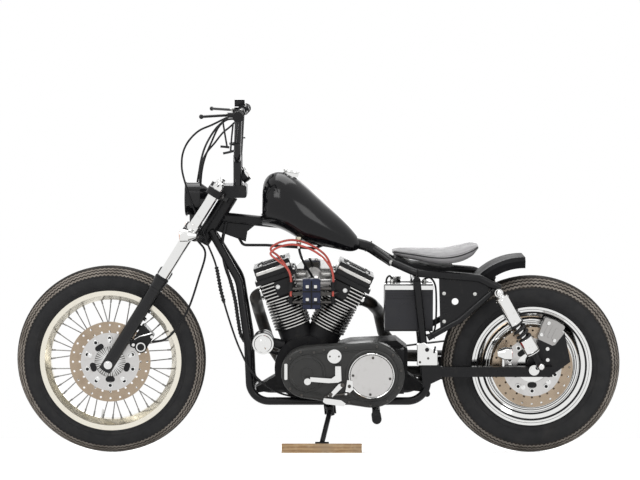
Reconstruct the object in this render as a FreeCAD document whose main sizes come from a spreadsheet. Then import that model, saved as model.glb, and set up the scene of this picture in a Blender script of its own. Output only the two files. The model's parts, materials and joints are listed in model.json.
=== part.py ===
import FreeCAD, Part
import Sketcher
import math
import os
from types import SimpleNamespace
from FreeCAD import Placement, Rotation, Vector

# A V-twin chopper leaning on its side stand, whose foot rests on a timber block.
# Bike frame: X runs to the rear wheel, Y to the rider's right, Z up along the leaned centre plane.
# Lengths are millimetres, angles are degrees, and a name ending in share is a pure number.
SIZES = {
    # stance
    "lean_angle": 12.0,
    "wheelbase": 1523.0,
    "front_axle_back": -758.0,
    "rake_angle": 32.0,
    # front wheel
    "front_tyre_radius": 343.0,
    "front_crown_radius": 52.0,
    "front_bead_radius": 243.0,
    "front_bead_half": 36.0,
    "front_flange_radius": 256.0,
    "front_flange_thick": 4.0,
    "front_well_radius": 220.0,
    "front_well_half": 14.0,
    "front_hub_radius": 24.0,
    "front_hub_half": 50.0,
    "front_hub_flange_radius": 34.0,
    "front_hub_flange_half": 30.0,
    "hub_flange_thick": 5.0,
    "spoke_radius": 2.0,
    "spoke_lacing_angle": 62.0,
    "spoke_count": 40.0,
    # rear wheel
    "rear_tyre_radius": 325.0,
    "rear_crown_radius": 65.0,
    "rear_bead_radius": 203.0,
    "rear_bead_half": 50.0,
    "rear_flange_radius": 217.0,
    "rear_flange_thick": 5.0,
    "rear_face_radius": 171.0,
    "rear_face_half": 36.0,
    "rear_step_radius": 200.0,
    "rear_hub_radius": 38.0,
    "rear_hub_half": 62.0,
    # discs and calipers
    "disc_radius": 146.0,
    "disc_inner_radius": 98.0,
    "disc_thick": 5.0,
    "disc_hole_radius": 4.0,
    "disc_hole_count": 24.0,
    "disc_hole_row": 12.0,
    "disc_centre_radius": 56.0,
    "caliper_half": 24.0,
    "caliper_low": 88.0,
    "caliper_length": 94.0,
    "caliper_width": 58.0,
    "caliper_round": 8.0,
    "caliper_stand_off": 5.0,
    "caliper_taper": 14.0,
    "caliper_step": 12.0,
    "caliper_lug_inset": 16.0,
    "caliper_lug_reach": 10.0,
    "caliper_lug_radius": 9.0,
    "rear_caliper_angle": 65.0,
    "pad_gap": 2.0,
    "disc_clearance": 6.0,
    "hose_radius": 4.0,
    "hose_bend": 40.0,
    "disc_seat_radius": 82.0,
    "disc_seat_thick": 7.0,
    "front_disc_y": 60.0,
    "rear_disc_y": 74.0,
    # axles
    "axle_radius": 9.0,
    "axle_bore": 5.0,
    "axle_fit": 0.3,
    "running_gap": 0.3,
    "overrun": 1.0,
    # fork
    "fork_offset": 52.0,
    "fork_half": 98.0,
    "tube_radius": 19.5,
    "slider_radius": 23.0,
    "slider_low": 28.0,
    "slider_top": 363.0,
    "collar_radius": 26.0,
    "collar_length": 18.0,
    "tube_top": 750.0,
    "lower_clamp_at": 552.0,
    "upper_clamp_at": 726.0,
    "clamp_thick": 26.0,
    "clamp_wall": 11.0,
    "cap_radius": 21.0,
    "cap_height": 9.0,
    "stem_radius": 12.7,
    "head_tube_radius": 29.0,
    "head_gap": 0.5,
    # handlebar and controls
    "riser_half": 45.0,
    "riser_radius": 15.0,
    "riser_height": 132.0,
    "riser_back": 27.0,
    "housing_front": 50.0,
    "housing_back": 33.0,
    "housing_half": 62.0,
    "housing_height": 44.0,
    "housing_round": 8.0,
    "bar_radius": 12.7,
    "bar_rise": 165.0,
    "bar_foot_half": 84.0,
    "bar_corner_half": 122.0,
    "bar_end_half": 352.0,
    "bar_bend": 42.0,
    "bar_pull_back": 8.0,
    "grip_radius": 18.5,
    "grip_length": 125.0,
    "lever_reach": 111.0,
    "lever_radius": 5.0,
    "lever_ball_radius": 8.0,
    "perch_gap": 2.0,
    "perch_length": 38.0,
    "perch_radius": 19.0,
    "switch_length": 30.0,
    "switch_radius": 18.0,
    "reservoir_length": 46.0,
    "reservoir_width": 38.0,
    "reservoir_height": 26.0,
    "mirror_stem_length": 104.0,
    "mirror_stem_radius": 3.5,
    "mirror_head_radius": 21.0,
    "mirror_head_thick": 6.0,
    "gauge_radius": 28.0,
    "gauge_depth": 28.0,
    "gauge_back": 20.0,
    "gauge_tilt": 55.0,
    "cable_radius": 3.5,
    "cable_bend": 30.0,
    "loom_radius": 5.0,
    # lamps
    "lamp_radius": 59.0,
    "lamp_length": 92.0,
    "lamp_wall": 3.0,
    "lamp_ahead": 26.4,
    "indicator_radius": 30.0,
    "indicator_length": 56.0,
    "indicator_half": 152.0,
    # frame
    "frame_tube": 14.0,
    "backbone_tube": 19.0,
    "rail_height": 211.0,
    "rail_half": 115.0,
    "downtube_top_half": 26.0,
    "downtube_bend": 70.0,
    "seat_rail_half": 115.0,
    "backbone_rise": 522.0,
    "backbone_mid_x": -150.0,
    "backbone_rear_x": 175.0,
    "backbone_rear_drop": 85.0,
    "backbone_end_x": 262.0,
    "backbone_end_drop": 142.0,
    "backbone_bend": 90.0,
    "gusset_half": 6.0,
    "downtube_mid_x": -290.0,
    "downtube_mid_half": 72.0,
    "downtube_low_x": -258.0,
    "downtube_sweep": 120.0,
    "cradle_front_x": -250.0,
    "cradle_rear_x": 392.0,
    "upright_top_x": 345.0,
    "upright_drop": 197.0,
    "front_cross_x": -236.0,
    "front_cross_rise": 22.0,
    "rear_cross_x": 384.0,
    "rear_cross_rise": 26.0,
    "shelf_cross_drop": 18.0,
    "pivot_plate_thick": 7.0,
    "rail_splay": 52.0,
    "rail_front_drop": 168.0,
    "rail_knee_ahead": 199.0,
    "rail_knee_drop": 186.0,
    "rail_end_ahead": 123.0,
    "rail_end_drop": 224.0,
    "rail_end_splay": 3.0,
    "rail_front_bend": 40.0,
    "rail_bend": 60.0,
    "strut_foot_x": 385.0,
    "strut_foot_drop": 26.0,
    "strut_bend": 80.0,
    "seat_cross_ahead": 193.0,
    "seat_cross_drop": 210.0,
    # engine
    "crank_x": -46.0,
    "crank_rise": 109.0,
    "front_cylinder_angle": 18.9,
    "rear_cylinder_angle": 26.6,
    "crankcase_half": 62.0,
    "crank_chamber_radius": 118.0,
    "gearbox_length": 362.0,
    "mount_lug_half": 9.5,
    "mount_lug_width": 30.0,
    "engine_reach": 400.0,
    "deck_height": 156.0,
    "deck_radius": 60.0,
    "barrel_radius": 50.0,
    "barrel_length": 110.0,
    "fin_radius": 68.0,
    "fin_thick": 3.4,
    "fin_count": 10.0,
    "v_gap": 2.0,
    "head_length": 75.0,
    "head_half_x": 62.0,
    "head_half_y": 72.0,
    "head_fin_count": 6.0,
    "head_core": 50.0,
    "rocker_base_half_x": 76.0,
    "rocker_left_half": 72.0,
    "rocker_right_half": 98.0,
    "rocker_base_height": 16.0,
    "rocker_height": 62.0,
    "rocker_inset": 9.0,
    "pushrod_y": 85.0,
    "pushrod_radius": 10.0,
    "pushrod_spread": 24.0,
    # primary side
    "primary_inner_y": 131.0,
    "primary_outer_y": 184.0,
    "primary_front_radius": 92.0,
    "primary_rear_radius": 118.0,
    "clutch_x": 183.0,
    "clutch_drop": 4.0,
    "primary_round": 12.0,
    "primary_front_lift": 4.0,
    "derby_radius": 81.0,
    "derby_thick": 12.0,
    "inspection_x": 51.0,
    "inspection_rise": 66.0,
    "inspection_radius": 25.0,
    "cover_thick": 6.0,
    # cam side
    "cam_cover_y": 96.0,
    "cam_cover_radius": 84.0,
    "cam_cover_round": 14.0,
    "pushrod_foot": 112.0,
    # intake
    "carb_y": 150.0,
    "carb_radius": 32.0,
    "carb_back": 22.0,
    "carb_rise": 294.0,
    "manifold_half": 100.0,
    "air_cleaner_radius": 84.0,
    "air_cleaner_depth": 52.0,
    # exhaust
    "exhaust_radius": 22.0,
    "exhaust_bore": 19.5,
    "exhaust_bend": 55.0,
    "port_bend": 30.0,
    "pipe_run": 400.0,
    # oil filter and ignition coil
    "filter_radius": 38.0,
    "filter_ahead": 158.0,
    "filter_rise": 98.0,
    "filter_left": 112.0,
    "filter_right": 18.0,
    "coil_back": 16.0,
    "coil_half_length": 32.0,
    "coil_inner_y": 96.0,
    "coil_thick": 40.0,
    "coil_rise": 226.0,
    "coil_height": 109.0,
    "coil_round": 6.0,
    "coil_plate_ahead": 82.0,
    "coil_plate_back": 96.0,
    "coil_foot_inset": 8.0,
    # tank
    "tank_front_x": -214.0,
    "tank_length": 362.0,
    "tank_drop": 103.0,
    "tank_height": 289.0,
    "tank_half_width": 122.0,
    "tunnel_half": 25.0,
    "tunnel_gap": 6.0,
    "tank_cap_radius": 29.0,
    "tank_cap_depth": 22.0,
    # seat
    "seat_front_x": 262.0,
    "seat_length": 306.0,
    "seat_drop": 152.0,
    "seat_height": 78.0,
    "seat_half_width": 128.0,
    # rear fender
    "fender_radius": 235.0,
    "fender_ahead": 33.0,
    "fender_drop": 352.0,
    "fender_half": 80.0,
    "fender_skirt": 38.0,
    "fender_wall": 3.0,
    "fender_start_angle": 136.7,
    "fender_end_angle": 89.0,
    # suspension
    "swingarm_pivot_x": 419.0,
    "swingarm_drop": 8.5,
    "swingarm_inner": 98.0,
    "swingarm_outer": 123.0,
    "swingarm_half_height": 18.0,
    "swingarm_tail": 67.0,
    "shock_y": 147.5,
    "shock_top_ahead": 131.0,
    "shock_top_drop": 234.0,
    "shock_low_back": 22.0,
    "shock_low_rise": 27.0,
    "shock_body_radius": 24.0,
    "shock_spring_radius": 27.0,
    "shock_eye_radius": 15.0,
    "stud_radius": 6.0,
    # electrics and tanks
    "battery_x": 233.0,
    "battery_length": 172.0,
    "battery_rise": 146.0,
    "battery_seat_gap": 64.0,
    "battery_half": 88.0,
    "tray_thick": 6.0,
    "plate_thick": 4.0,
    "plate_hole_radius": 12.0,
    # final drive
    "belt_y": 82.0,
    "belt_half_width": 9.0,
    "belt_thick": 4.0,
    "pulley_radius": 104.0,
    "pulley_lip": 3.0,
    "pulley_rim": 12.0,
    "pulley_window_count": 6.0,
    "pulley_window_radius": 17.0,
    "gearbox_pulley_x": 258.0,
    "output_rise": 6.0,
    "gearbox_pulley_radius": 44.0,
    # pegs, levers and rear lamps
    "peg_x": 199.0,
    "peg_inner_y": 196.0,
    "peg_arm_drop": 23.0,
    "peg_drop": 32.0,
    "peg_bracket_half": 14.0,
    "peg_bracket_thick": 8.0,
    "gear_lever_reach": 120.0,
    "pedal_reach": 271.0,
    "peg_radius": 16.0,
    "peg_length": 95.0,
    "pivot_cover_depth": 8.0,
    "lever_stand_off": 8.0,
    "lever_thick": 8.0,
    "toe_length": 48.0,
    "toe_radius": 12.0,
    "rear_lamp_ahead": 108.0,
    "rear_lamp_y": 152.0,
    "rear_lamp_rise": 72.0,
    "rear_lamp_radius": 23.0,
    "rear_lamp_length": 48.0,
    "lead_radius": 4.0,
    "lead_pitch": 16.0,
    "lead_y": -100.0,
    "lead_left_x": -104.0,
    "lead_right_x": 46.0,
    "tower_rise": 247.0,
    "tower_pitch": 51.0,
    "boot_radius": 8.0,
    "boot_length": 24.0,
    "lead_bend": 16.0,
    # stand and block
    "stand_x": 36.0,
    "stand_y": 132.0,
    "stand_drop": 31.0,
    "stand_leg_radius": 9.0,
    "stand_eye_radius": 13.0,
    "stand_eye_half": 8.0,
    "stand_pin_radius": 5.0,
    "stand_lug_radius": 15.0,
    "stand_lug_thick": 8.0,
    "stand_plate_back": 19.0,
    "stand_axis_forward_share": -0.108,
    "stand_axis_left_share": -0.0306,
    "stand_axis_up_share": 0.9937,
    "block_height": 32.0,
    "block_half_length": 139.0,
    "block_half_width": 48.0,
    "block_x": 6.0,
    "block_y": 345.0,
    "foot_x": 7.0,
    "foot_half": 24.0,
    "foot_thick": 6.0,
}

doc = FreeCAD.newDocument("Chopper")
sheet = doc.addObject("Spreadsheet::Sheet", "Sizes")
for row, (name, value) in enumerate(SIZES.items(), 1):
    sheet.set(f"A{row}", name)
    sheet.set(f"B{row}", str(value))
    sheet.setAlias(f"B{row}", name)
doc.recompute()


def text_of(value):
    return value.text if isinstance(value, Size) else repr(float(value))


class Size(float):
    """A number that remembers the spreadsheet expression it came from."""

    def __new__(cls, value, text):
        made = float.__new__(cls, value)
        made.text = text
        return made

    def __add__(self, other):
        return Size(float(self) + float(other), f"({self.text} + {text_of(other)})")

    __radd__ = __add__

    def __sub__(self, other):
        return Size(float(self) - float(other), f"({self.text} - {text_of(other)})")

    def __rsub__(self, other):
        return Size(float(other) - float(self), f"({text_of(other)} - {self.text})")

    def __mul__(self, other):
        return Size(float(self) * float(other), f"({self.text} * {text_of(other)})")

    __rmul__ = __mul__

    def __truediv__(self, other):
        return Size(float(self) / float(other), f"({self.text} / {text_of(other)})")

    def __neg__(self):
        return Size(-float(self), f"(-{self.text})")


s = SimpleNamespace(**{name: Size(sheet.get(name), "Sizes." + name) for name in SIZES})

# Stance worked out from the sizes: both tyres touch the floor at the lean angle.
lean = math.radians(s.lean_angle)
front_x = s.front_axle_back
rear_x = front_x + s.wheelbase
front_z = s.front_tyre_radius - s.front_crown_radius + s.front_crown_radius / math.cos(lean)
rear_z = s.rear_tyre_radius - s.rear_crown_radius + s.rear_crown_radius / math.cos(lean)

# Heights built up from the lower rail, and places along the bike taken from the rear axle
s.crank_height = s.rail_height + s.crank_rise
s.clutch_height = s.crank_height - s.clutch_drop
s.inspection_height = s.crank_height + s.inspection_rise
s.gearbox_pulley_height = s.crank_height + s.output_rise
s.gearbox_rear = s.crank_x + s.gearbox_length
s.tower_height = s.crank_height + s.tower_rise
backbone_height = s.crank_height + s.backbone_rise
s.tank_base_height = backbone_height - s.tank_drop
s.seat_base_height = backbone_height - s.seat_drop
s.battery_base_height = s.crank_height + s.battery_rise
s.battery_height = s.seat_base_height - s.battery_seat_gap - s.battery_base_height
s.fender_x = rear_x - s.fender_ahead
s.fender_height = backbone_height - s.fender_drop
s.swingarm_height = rear_z - s.swingarm_drop
s.swingarm_end_x = rear_x + s.swingarm_tail
s.shock_top_x = rear_x - s.shock_top_ahead
s.shock_top_height = backbone_height - s.shock_top_drop
s.shock_low_x = rear_x + s.shock_low_back
s.shock_low_height = s.swingarm_height + s.shock_low_rise
s.rear_lamp_x = rear_x - s.rear_lamp_ahead
s.rear_lamp_height = s.swingarm_height + s.rear_lamp_rise
s.peg_arm_height = s.rail_height - s.peg_arm_drop
s.peg_height = s.rail_height - s.peg_drop
s.stand_height = s.rail_height - s.stand_drop
X = Vector(1, 0, 0)
Y = Vector(0, 1, 0)
Z = Vector(0, 0, 1)
O = Vector(0, 0, 0)
LEAN = Placement(O, Rotation(X, float(s.lean_angle)))
nodes = []


def leaned(point):
    return LEAN.multVec(point)


def centring():
    """The origin lies midway between the tyres' ends, and between left grip and right peg."""
    middle = (front_x - s.front_tyre_radius + rear_x + s.rear_tyre_radius) / 2
    left = bar_end(-1, -s.bar_radius / 2) + v(0, 0, s.grip_radius)
    right = v(0, s.peg_inner_y + s.peg_length, s.peg_height - s.peg_radius)
    return v(-middle, -(leaned(left).y + leaned(right).y) / 2, 0)


def bind(item, prop, value):
    """Set a property and tie it to the sheet where the value comes from there."""
    setattr(item, prop, float(value))
    if isinstance(value, Size):
        item.setExpression(prop, value.text)


def primitive(kind, name, place, **props):
    item = doc.addObject("Part::" + kind, name)
    for prop, value in props.items():
        bind(item, prop, value)
    item.Placement = place
    return item


def keep(item, label):
    """Name a finished sub-part; it gets the lean once everything is built."""
    item.Label = label
    nodes.append(item)
    return item


def shaped(label, shape):
    item = doc.addObject("Part::Feature", label)
    item.Shape = shape
    return keep(item, label)


def body_with_profile(name, role, points):
    """A PartDesign body with a closed polygon sketch, each corner tied to the sheet."""
    body = doc.addObject("PartDesign::Body", name)
    return body, add_profile(body, name + "Profile", role, points)


def add_profile(body, name, role, points):
    sketch = body.newObject("Sketcher::SketchObject", name)
    plane = [feature for feature in body.Origin.OriginFeatures if feature.Role == role][0]
    sketch.AttachmentSupport = (plane, "")
    sketch.MapMode = "FlatFace"
    count = len(points)
    for i, (a, b) in enumerate(points):
        c, e = points[(i + 1) % count]
        sketch.addGeometry(Part.LineSegment(Vector(a, b, 0), Vector(c, e, 0)), False)
    for i, (a, b) in enumerate(points):
        before = i - 1 if i else count - 1
        sketch.addConstraint(Sketcher.Constraint("Coincident", before, 2, i, 1))
        for kind, value, axis in (("DistanceX", a, -2), ("DistanceY", b, -1)):
            if value == 0:
                sketch.addConstraint(Sketcher.Constraint("PointOnObject", i, 1, axis))
                continue
            index = sketch.addConstraint(Sketcher.Constraint(kind, -1, 1, i, 1, float(value)))
            if isinstance(value, Size):
                sketch.setExpression(f"Constraints[{index}]", value.text)
    return sketch


def add_circle(body, name, role, radius, offset_x):
    sketch = body.newObject("Sketcher::SketchObject", name)
    plane = [feature for feature in body.Origin.OriginFeatures if feature.Role == role][0]
    sketch.AttachmentSupport = (plane, "")
    sketch.MapMode = "FlatFace"
    sketch.addGeometry(Part.Circle(Vector(offset_x, 0, 0), Z, radius), False)
    index = sketch.addConstraint(Sketcher.Constraint("Radius", 0, float(radius)))
    sketch.setExpression(f"Constraints[{index}]", radius.text)
    sketch.addConstraint(Sketcher.Constraint("PointOnObject", 0, 3, -1))
    if offset_x == 0:
        sketch.addConstraint(Sketcher.Constraint("PointOnObject", 0, 3, -2))
    else:
        index = sketch.addConstraint(Sketcher.Constraint("DistanceX", -1, 1, 0, 3, float(offset_x)))
        sketch.setExpression(f"Constraints[{index}]", offset_x.text)
    return sketch


def revolve_body(body, sketch):
    """Turn the profile once round the sketch's vertical axis, which is the wheel's axle."""
    turn = body.newObject("PartDesign::Revolution", sketch.Name + "Turn")
    turn.Profile = sketch
    turn.ReferenceAxis = (sketch, ["V_Axis"])
    turn.Angle = 360.0
    return turn


def v(x, y, z):
    return Vector(float(x), float(y), float(z))


def both_sides(shape):
    """The shape and its mirror image across the bike's centre plane."""
    return [shape, mirrored(shape)]


def mirrored(shape):
    return shape.mirror(O, Y)


def route(points, bend):
    """Straight runs joined by tangent arcs; bend is one radius or one for each corner."""
    edges = []
    here = points[0]
    for i in range(1, len(points) - 1):
        radius = float(bend[i - 1] if isinstance(bend, (list, tuple)) else bend)
        before = (points[i - 1] - points[i]).normalize()
        after = (points[i + 1] - points[i]).normalize()
        turn = math.pi - before.getAngle(after)
        reach = radius * math.tan(turn / 2)
        start = points[i] + before * reach
        end = points[i] + after * reach
        inward = (before + after).normalize()
        middle = points[i] + inward * (radius / math.cos(turn / 2) - radius)
        edges.append(Part.LineSegment(here, start).toShape())
        edges.append(Part.Arc(start, middle, end).toShape())
        here = end
    edges.append(Part.LineSegment(here, points[-1]).toShape())
    return Part.Wire(edges)


def tube(points, radius, bend=None, bore=None):
    """A bent tube, open right through where a bore is given."""
    path = route(points, bend if bend is not None else radius * 4)
    direction = points[1] - points[0]
    outer = Part.Wire(Part.makeCircle(float(radius), points[0], direction))
    solid = path.makePipeShell([outer], True, False)
    if bore is None:
        return solid
    inner = Part.Wire(Part.makeCircle(float(bore), points[0], direction))
    return solid.cut(path.makePipeShell([inner], True, False))


def rod(start, end, radius, end_radius=None):
    run = end - start
    if end_radius is None:
        return Part.makeCylinder(float(radius), run.Length, start, run)
    return Part.makeCone(float(radius), float(end_radius), run.Length, start, run)


def cross_rod(x, z, y_from, y_to, radius):
    """A round bar across the bike."""
    return rod(v(x, min(y_from, y_to), z), v(x, max(y_from, y_to), z), radius)


def slab(points, y_from, y_to):
    """A flat outline in the side view, given as (x, z) corners, made thick across the bike."""
    corners = [v(x, y_from, z) for x, z in points]
    face = Part.Face(Part.makePolygon(corners + [corners[0]]))
    return face.extrude(v(0, y_to - y_from, 0))


def box(x_from, x_to, y_from, y_to, z_from, z_to):
    return Part.makeBox(float(x_to - x_from), float(y_to - y_from), float(z_to - z_from),
                        v(x_from, y_from, z_from))


def rounded(shape, radius, keep_edge):
    """Fillet the edges that the test picks."""
    edges = [edge for edge in shape.Edges if keep_edge(edge)]
    return shape.makeFillet(float(radius), edges)


def along_y(edge):
    ends = [vertex.Point for vertex in edge.Vertexes]
    return len(ends) == 2 and abs((ends[1] - ends[0]).normalize().y) > 0.99


def wheel_place(x, z, y=0):
    return Placement(v(x, y, z), Rotation())


# Front wheel
def tyre(name, radius, crown, bead, bead_half, flange, gap, place):
    """A round-section tyre whose beads seat in the rim; the section is revolved about the axle."""
    body = doc.addObject("PartDesign::Body", name)
    sketch = body.newObject("Sketcher::SketchObject", name + "Section")
    plane = [feature for feature in body.Origin.OriginFeatures if feature.Role == "XY_Plane"][0]
    sketch.AttachmentSupport = (plane, "")
    sketch.MapMode = "FlatFace"
    centre = radius - crown
    seat = flange + gap
    side = math.sqrt(crown * crown - (centre - seat) ** 2)
    shoulder = math.atan2(side, seat - centre)
    low, high = v(seat, -side, 0), v(seat, side, 0)
    sketch.addGeometry(Part.LineSegment(v(bead, bead_half, 0), v(bead, -bead_half, 0)), False)
    sketch.addGeometry(Part.LineSegment(v(bead, -bead_half, 0), v(seat, -bead_half, 0)), False)
    sketch.addGeometry(Part.LineSegment(v(seat, -bead_half, 0), low), False)
    crown_circle = Part.Circle(v(centre, 0, 0), Z, float(crown))
    sketch.addGeometry(Part.ArcOfCircle(crown_circle, -shoulder, shoulder), False)
    sketch.addGeometry(Part.LineSegment(high, v(seat, bead_half, 0)), False)
    sketch.addGeometry(Part.LineSegment(v(seat, bead_half, 0), v(bead, bead_half, 0)), False)
    joins = ((0, 2, 1, 1), (1, 2, 2, 1), (2, 2, 3, 1), (3, 2, 4, 1), (4, 2, 5, 1), (5, 2, 0, 1))
    for join in joins:
        sketch.addConstraint(Sketcher.Constraint("Coincident", *join))
    places = ((0, 1, bead, bead_half), (1, 1, bead, -bead_half), (2, 1, seat, -bead_half),
              (5, 1, seat, bead_half))
    for edge, end, across, up in places:
        for kind, value in (("DistanceX", across), ("DistanceY", up)):
            index = sketch.addConstraint(
                Sketcher.Constraint(kind, -1, 1, edge, end, float(value)))
            sketch.setExpression(f"Constraints[{index}]", value.text)
    sketch.addConstraint(Sketcher.Constraint("PointOnObject", 3, 3, -1))
    index = sketch.addConstraint(Sketcher.Constraint("Radius", 3, float(crown)))
    sketch.setExpression(f"Constraints[{index}]", crown.text)
    index = sketch.addConstraint(Sketcher.Constraint("DistanceX", -1, 1, 3, 3, float(centre)))
    sketch.setExpression(f"Constraints[{index}]", centre.text)
    sketch.addConstraint(Sketcher.Constraint("Vertical", 2))
    sketch.addConstraint(Sketcher.Constraint("Vertical", 4))
    revolve_body(body, sketch)
    body.Placement = place
    return keep(body, name)


def front_wheel():
    """Deep rim, hub and crossed spokes, laced as one piece."""
    lip = s.front_flange_radius
    half = s.front_bead_half + s.running_gap
    out = half + s.front_flange_thick
    bead = s.front_bead_radius - s.running_gap
    well = s.front_well_radius
    skin = s.front_flange_thick
    profile = [
        (lip, half), (lip, out), (bead - skin, out - skin / 2), (well, s.front_well_half),
        (well, -s.front_well_half), (bead - skin, -out + skin / 2), (lip, -out), (lip, -half),
        (bead, -half), (bead, -s.front_well_half * 1.7), (well + skin, -s.front_well_half),
        (well + skin, s.front_well_half), (bead, s.front_well_half * 1.7), (bead, half),
    ]
    corners = [v(r, y, 0) for r, y in profile]
    rim = Part.Face(Part.makePolygon(corners + [corners[0]])).revolve(O, Y, 360)
    bore = s.axle_radius + s.axle_fit
    hub_points = [
        (bore, -s.front_hub_half), (s.front_hub_radius, -s.front_hub_half),
        (s.front_hub_radius, -s.front_hub_flange_half - s.hub_flange_thick),
        (s.front_hub_flange_radius, -s.front_hub_flange_half - s.hub_flange_thick),
        (s.front_hub_flange_radius, -s.front_hub_flange_half),
        (s.front_hub_radius - skin, -s.front_hub_flange_half + s.hub_flange_thick),
        (s.front_hub_radius - skin, s.front_hub_flange_half - s.hub_flange_thick),
        (s.front_hub_flange_radius, s.front_hub_flange_half),
        (s.front_hub_flange_radius, s.front_hub_flange_half + s.hub_flange_thick),
        (s.front_hub_radius, s.front_hub_flange_half + s.hub_flange_thick),
        (s.front_hub_radius, s.front_hub_half), (bore, s.front_hub_half),
    ]
    corners = [v(r, y, 0) for r, y in hub_points]
    hub = Part.Face(Part.makePolygon(corners + [corners[0]])).revolve(O, Y, 360)
    face = -s.front_disc_y + s.disc_thick
    seat = cross_rod(0, 0, face, face + s.disc_seat_thick, s.disc_seat_radius)
    neck = cross_rod(0, 0, face, -s.front_hub_half + s.hub_flange_thick, s.front_hub_radius)
    hub = hub.fuse([seat, neck]).cut(cross_rod(0, 0, face * 2, 0, bore))
    count = int(s.spoke_count)
    spokes = []
    for index in range(count):
        side = -1 if index % 2 else 1
        lean_way = 1 if index % 4 < 2 else -1
        rim_turn = 360.0 * index / count
        hub_turn = rim_turn + lean_way * s.spoke_lacing_angle
        rim_end = Rotation(Y, rim_turn).multVec(v(well + skin / 2, side * s.front_well_half / 2, 0))
        hub_radius = s.front_hub_flange_radius - s.spoke_radius * 2
        hub_y = side * (s.front_hub_flange_half + s.hub_flange_thick / 2)
        hub_end = Rotation(Y, hub_turn).multVec(v(hub_radius, hub_y, 0))
        spokes.append(rod(hub_end, rim_end, s.spoke_radius))
    wheel = rim.fuse([hub] + spokes)
    return shaped("front_wheel", wheel.translated(v(front_x, 0, front_z)))


def rear_wheel():
    """Disc-type wheel: stepped faces on both sides of a solid web."""
    lip = s.rear_flange_radius
    half = s.rear_bead_half + s.running_gap
    out = half + s.rear_flange_thick
    bead = s.rear_bead_radius - s.running_gap
    bore = s.axle_radius + s.axle_fit
    step = s.rear_flange_thick
    outer = [(s.rear_face_radius, s.rear_face_half),
             (s.rear_face_radius, s.rear_face_half + step), (s.rear_step_radius, out - step / 2),
             (lip, out), (lip, half), (bead, half)]
    disc_face = -s.rear_disc_y + s.disc_thick
    profile = [(bore, s.rear_hub_half), (s.rear_hub_radius, s.rear_hub_half),
               (s.rear_hub_radius, s.rear_face_half)]
    profile += outer + [(radius, -side) for radius, side in reversed(outer)]
    profile += [(s.rear_hub_radius, -s.rear_face_half),
                (s.rear_hub_radius, disc_face + s.disc_seat_thick),
                (s.disc_seat_radius, disc_face + s.disc_seat_thick),
                (s.disc_seat_radius, disc_face), (bore, disc_face)]
    body, sketch = body_with_profile("rear_wheel", "XY_Plane", profile)
    revolve_body(body, sketch)
    body.Placement = wheel_place(rear_x, rear_z)
    return keep(body, "rear_wheel")


def brake_disc(name, side, place):
    """A drilled ring on a bolted carrier, lying across the wheel axis."""
    body, sketch = body_with_profile(name, "XY_Plane", [
        (s.disc_centre_radius, 0), (s.disc_radius, 0), (s.disc_radius, s.disc_thick),
        (s.disc_centre_radius, s.disc_thick)])
    revolve_body(body, sketch)
    doc.recompute()
    holes = []
    for row, radius in enumerate((s.disc_inner_radius + s.disc_hole_row,
                                  s.disc_radius - s.disc_hole_row)):
        circle = add_circle(body, f"{name}Hole{row}", "XZ_Plane", s.disc_hole_radius, radius)
        pocket = body.newObject("PartDesign::Pocket", f"{name}Pocket{row}")
        pocket.Profile = circle
        pocket.Type = "ThroughAll"
        pocket.Midplane = True
        pattern = body.newObject("PartDesign::PolarPattern", f"{name}Ring{row}")
        pattern.Originals = [pocket]
        axis = [feature for feature in body.Origin.OriginFeatures if feature.Role == "Y_Axis"][0]
        pattern.Axis = (axis, [""])
        pattern.Angle = 360.0
        pattern.Occurrences = int(s.disc_hole_count)
        body.Tip = pattern
        holes.append(pattern)
    body.Placement = place
    return keep(body, name)


# Steering
rake = math.radians(s.rake_angle)
fork_up = v(math.sin(rake), 0, math.cos(rake))
fork_back = v(math.cos(rake), 0, -math.sin(rake))
axle_point = v(front_x, 0, front_z)


def on_fork(along, back=0, y=0):
    """A point by its distance up the fork from the axle and behind the fork legs' plane."""
    return axle_point + fork_up * float(along) + fork_back * float(back) + v(0, y, 0)


def clamp_plate(along):
    """A fork bridge: two clamp bosses and the web that carries the stem."""
    boss = s.tube_radius + s.clamp_wall
    low = along - s.clamp_thick / 2
    high = along + s.clamp_thick / 2
    hub = rod(on_fork(low, s.fork_offset), on_fork(high, s.fork_offset), s.head_tube_radius)
    bosses = [rod(on_fork(low, 0, side * s.fork_half), on_fork(high, 0, side * s.fork_half), boss)
              for side in (-1, 1)]
    web_points = [(-s.tube_radius, -s.fork_half), (s.tube_radius, -s.fork_half),
                  (s.fork_offset + s.tube_radius, 0), (s.tube_radius, s.fork_half),
                  (-s.tube_radius, s.fork_half), (-s.tube_radius / 2, 0)]
    corners = [on_fork(low, back, y) for back, y in web_points]
    web = Part.Face(Part.makePolygon(corners + [corners[0]])).extrude(fork_up * float(high - low))
    plate = web.fuse([hub] + bosses)
    bores = [rod(on_fork(low - s.overrun, 0, side * s.fork_half),
                 on_fork(high + s.overrun, 0, side * s.fork_half), s.tube_radius)
             for side in (-1, 1)]
    return plate.cut(bores)


def triple_clamps():
    lower = clamp_plate(s.lower_clamp_at)
    upper = clamp_plate(s.upper_clamp_at)
    stem = rod(on_fork(s.lower_clamp_at, s.fork_offset), on_fork(s.upper_clamp_at, s.fork_offset),
               s.stem_radius)
    seat = on_fork(s.upper_clamp_at + s.clamp_thick / 2, s.fork_offset)
    housing = box(seat.x - s.housing_front, seat.x + s.riser_back + s.housing_back,
                  -s.housing_half, s.housing_half, seat.z - s.housing_height / 8,
                  seat.z + s.housing_height * 7 / 8)
    housing = rounded(housing, s.housing_round, along_y)
    bores = [rod(on_fork(s.upper_clamp_at - s.clamp_thick, 0, side * s.fork_half),
                 on_fork(s.tube_top + s.cap_height, 0, side * s.fork_half), s.tube_radius)
             for side in (-1, 1)]
    return shaped("triple_clamps", lower.fuse([upper, stem, housing.cut(bores)]))


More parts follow.
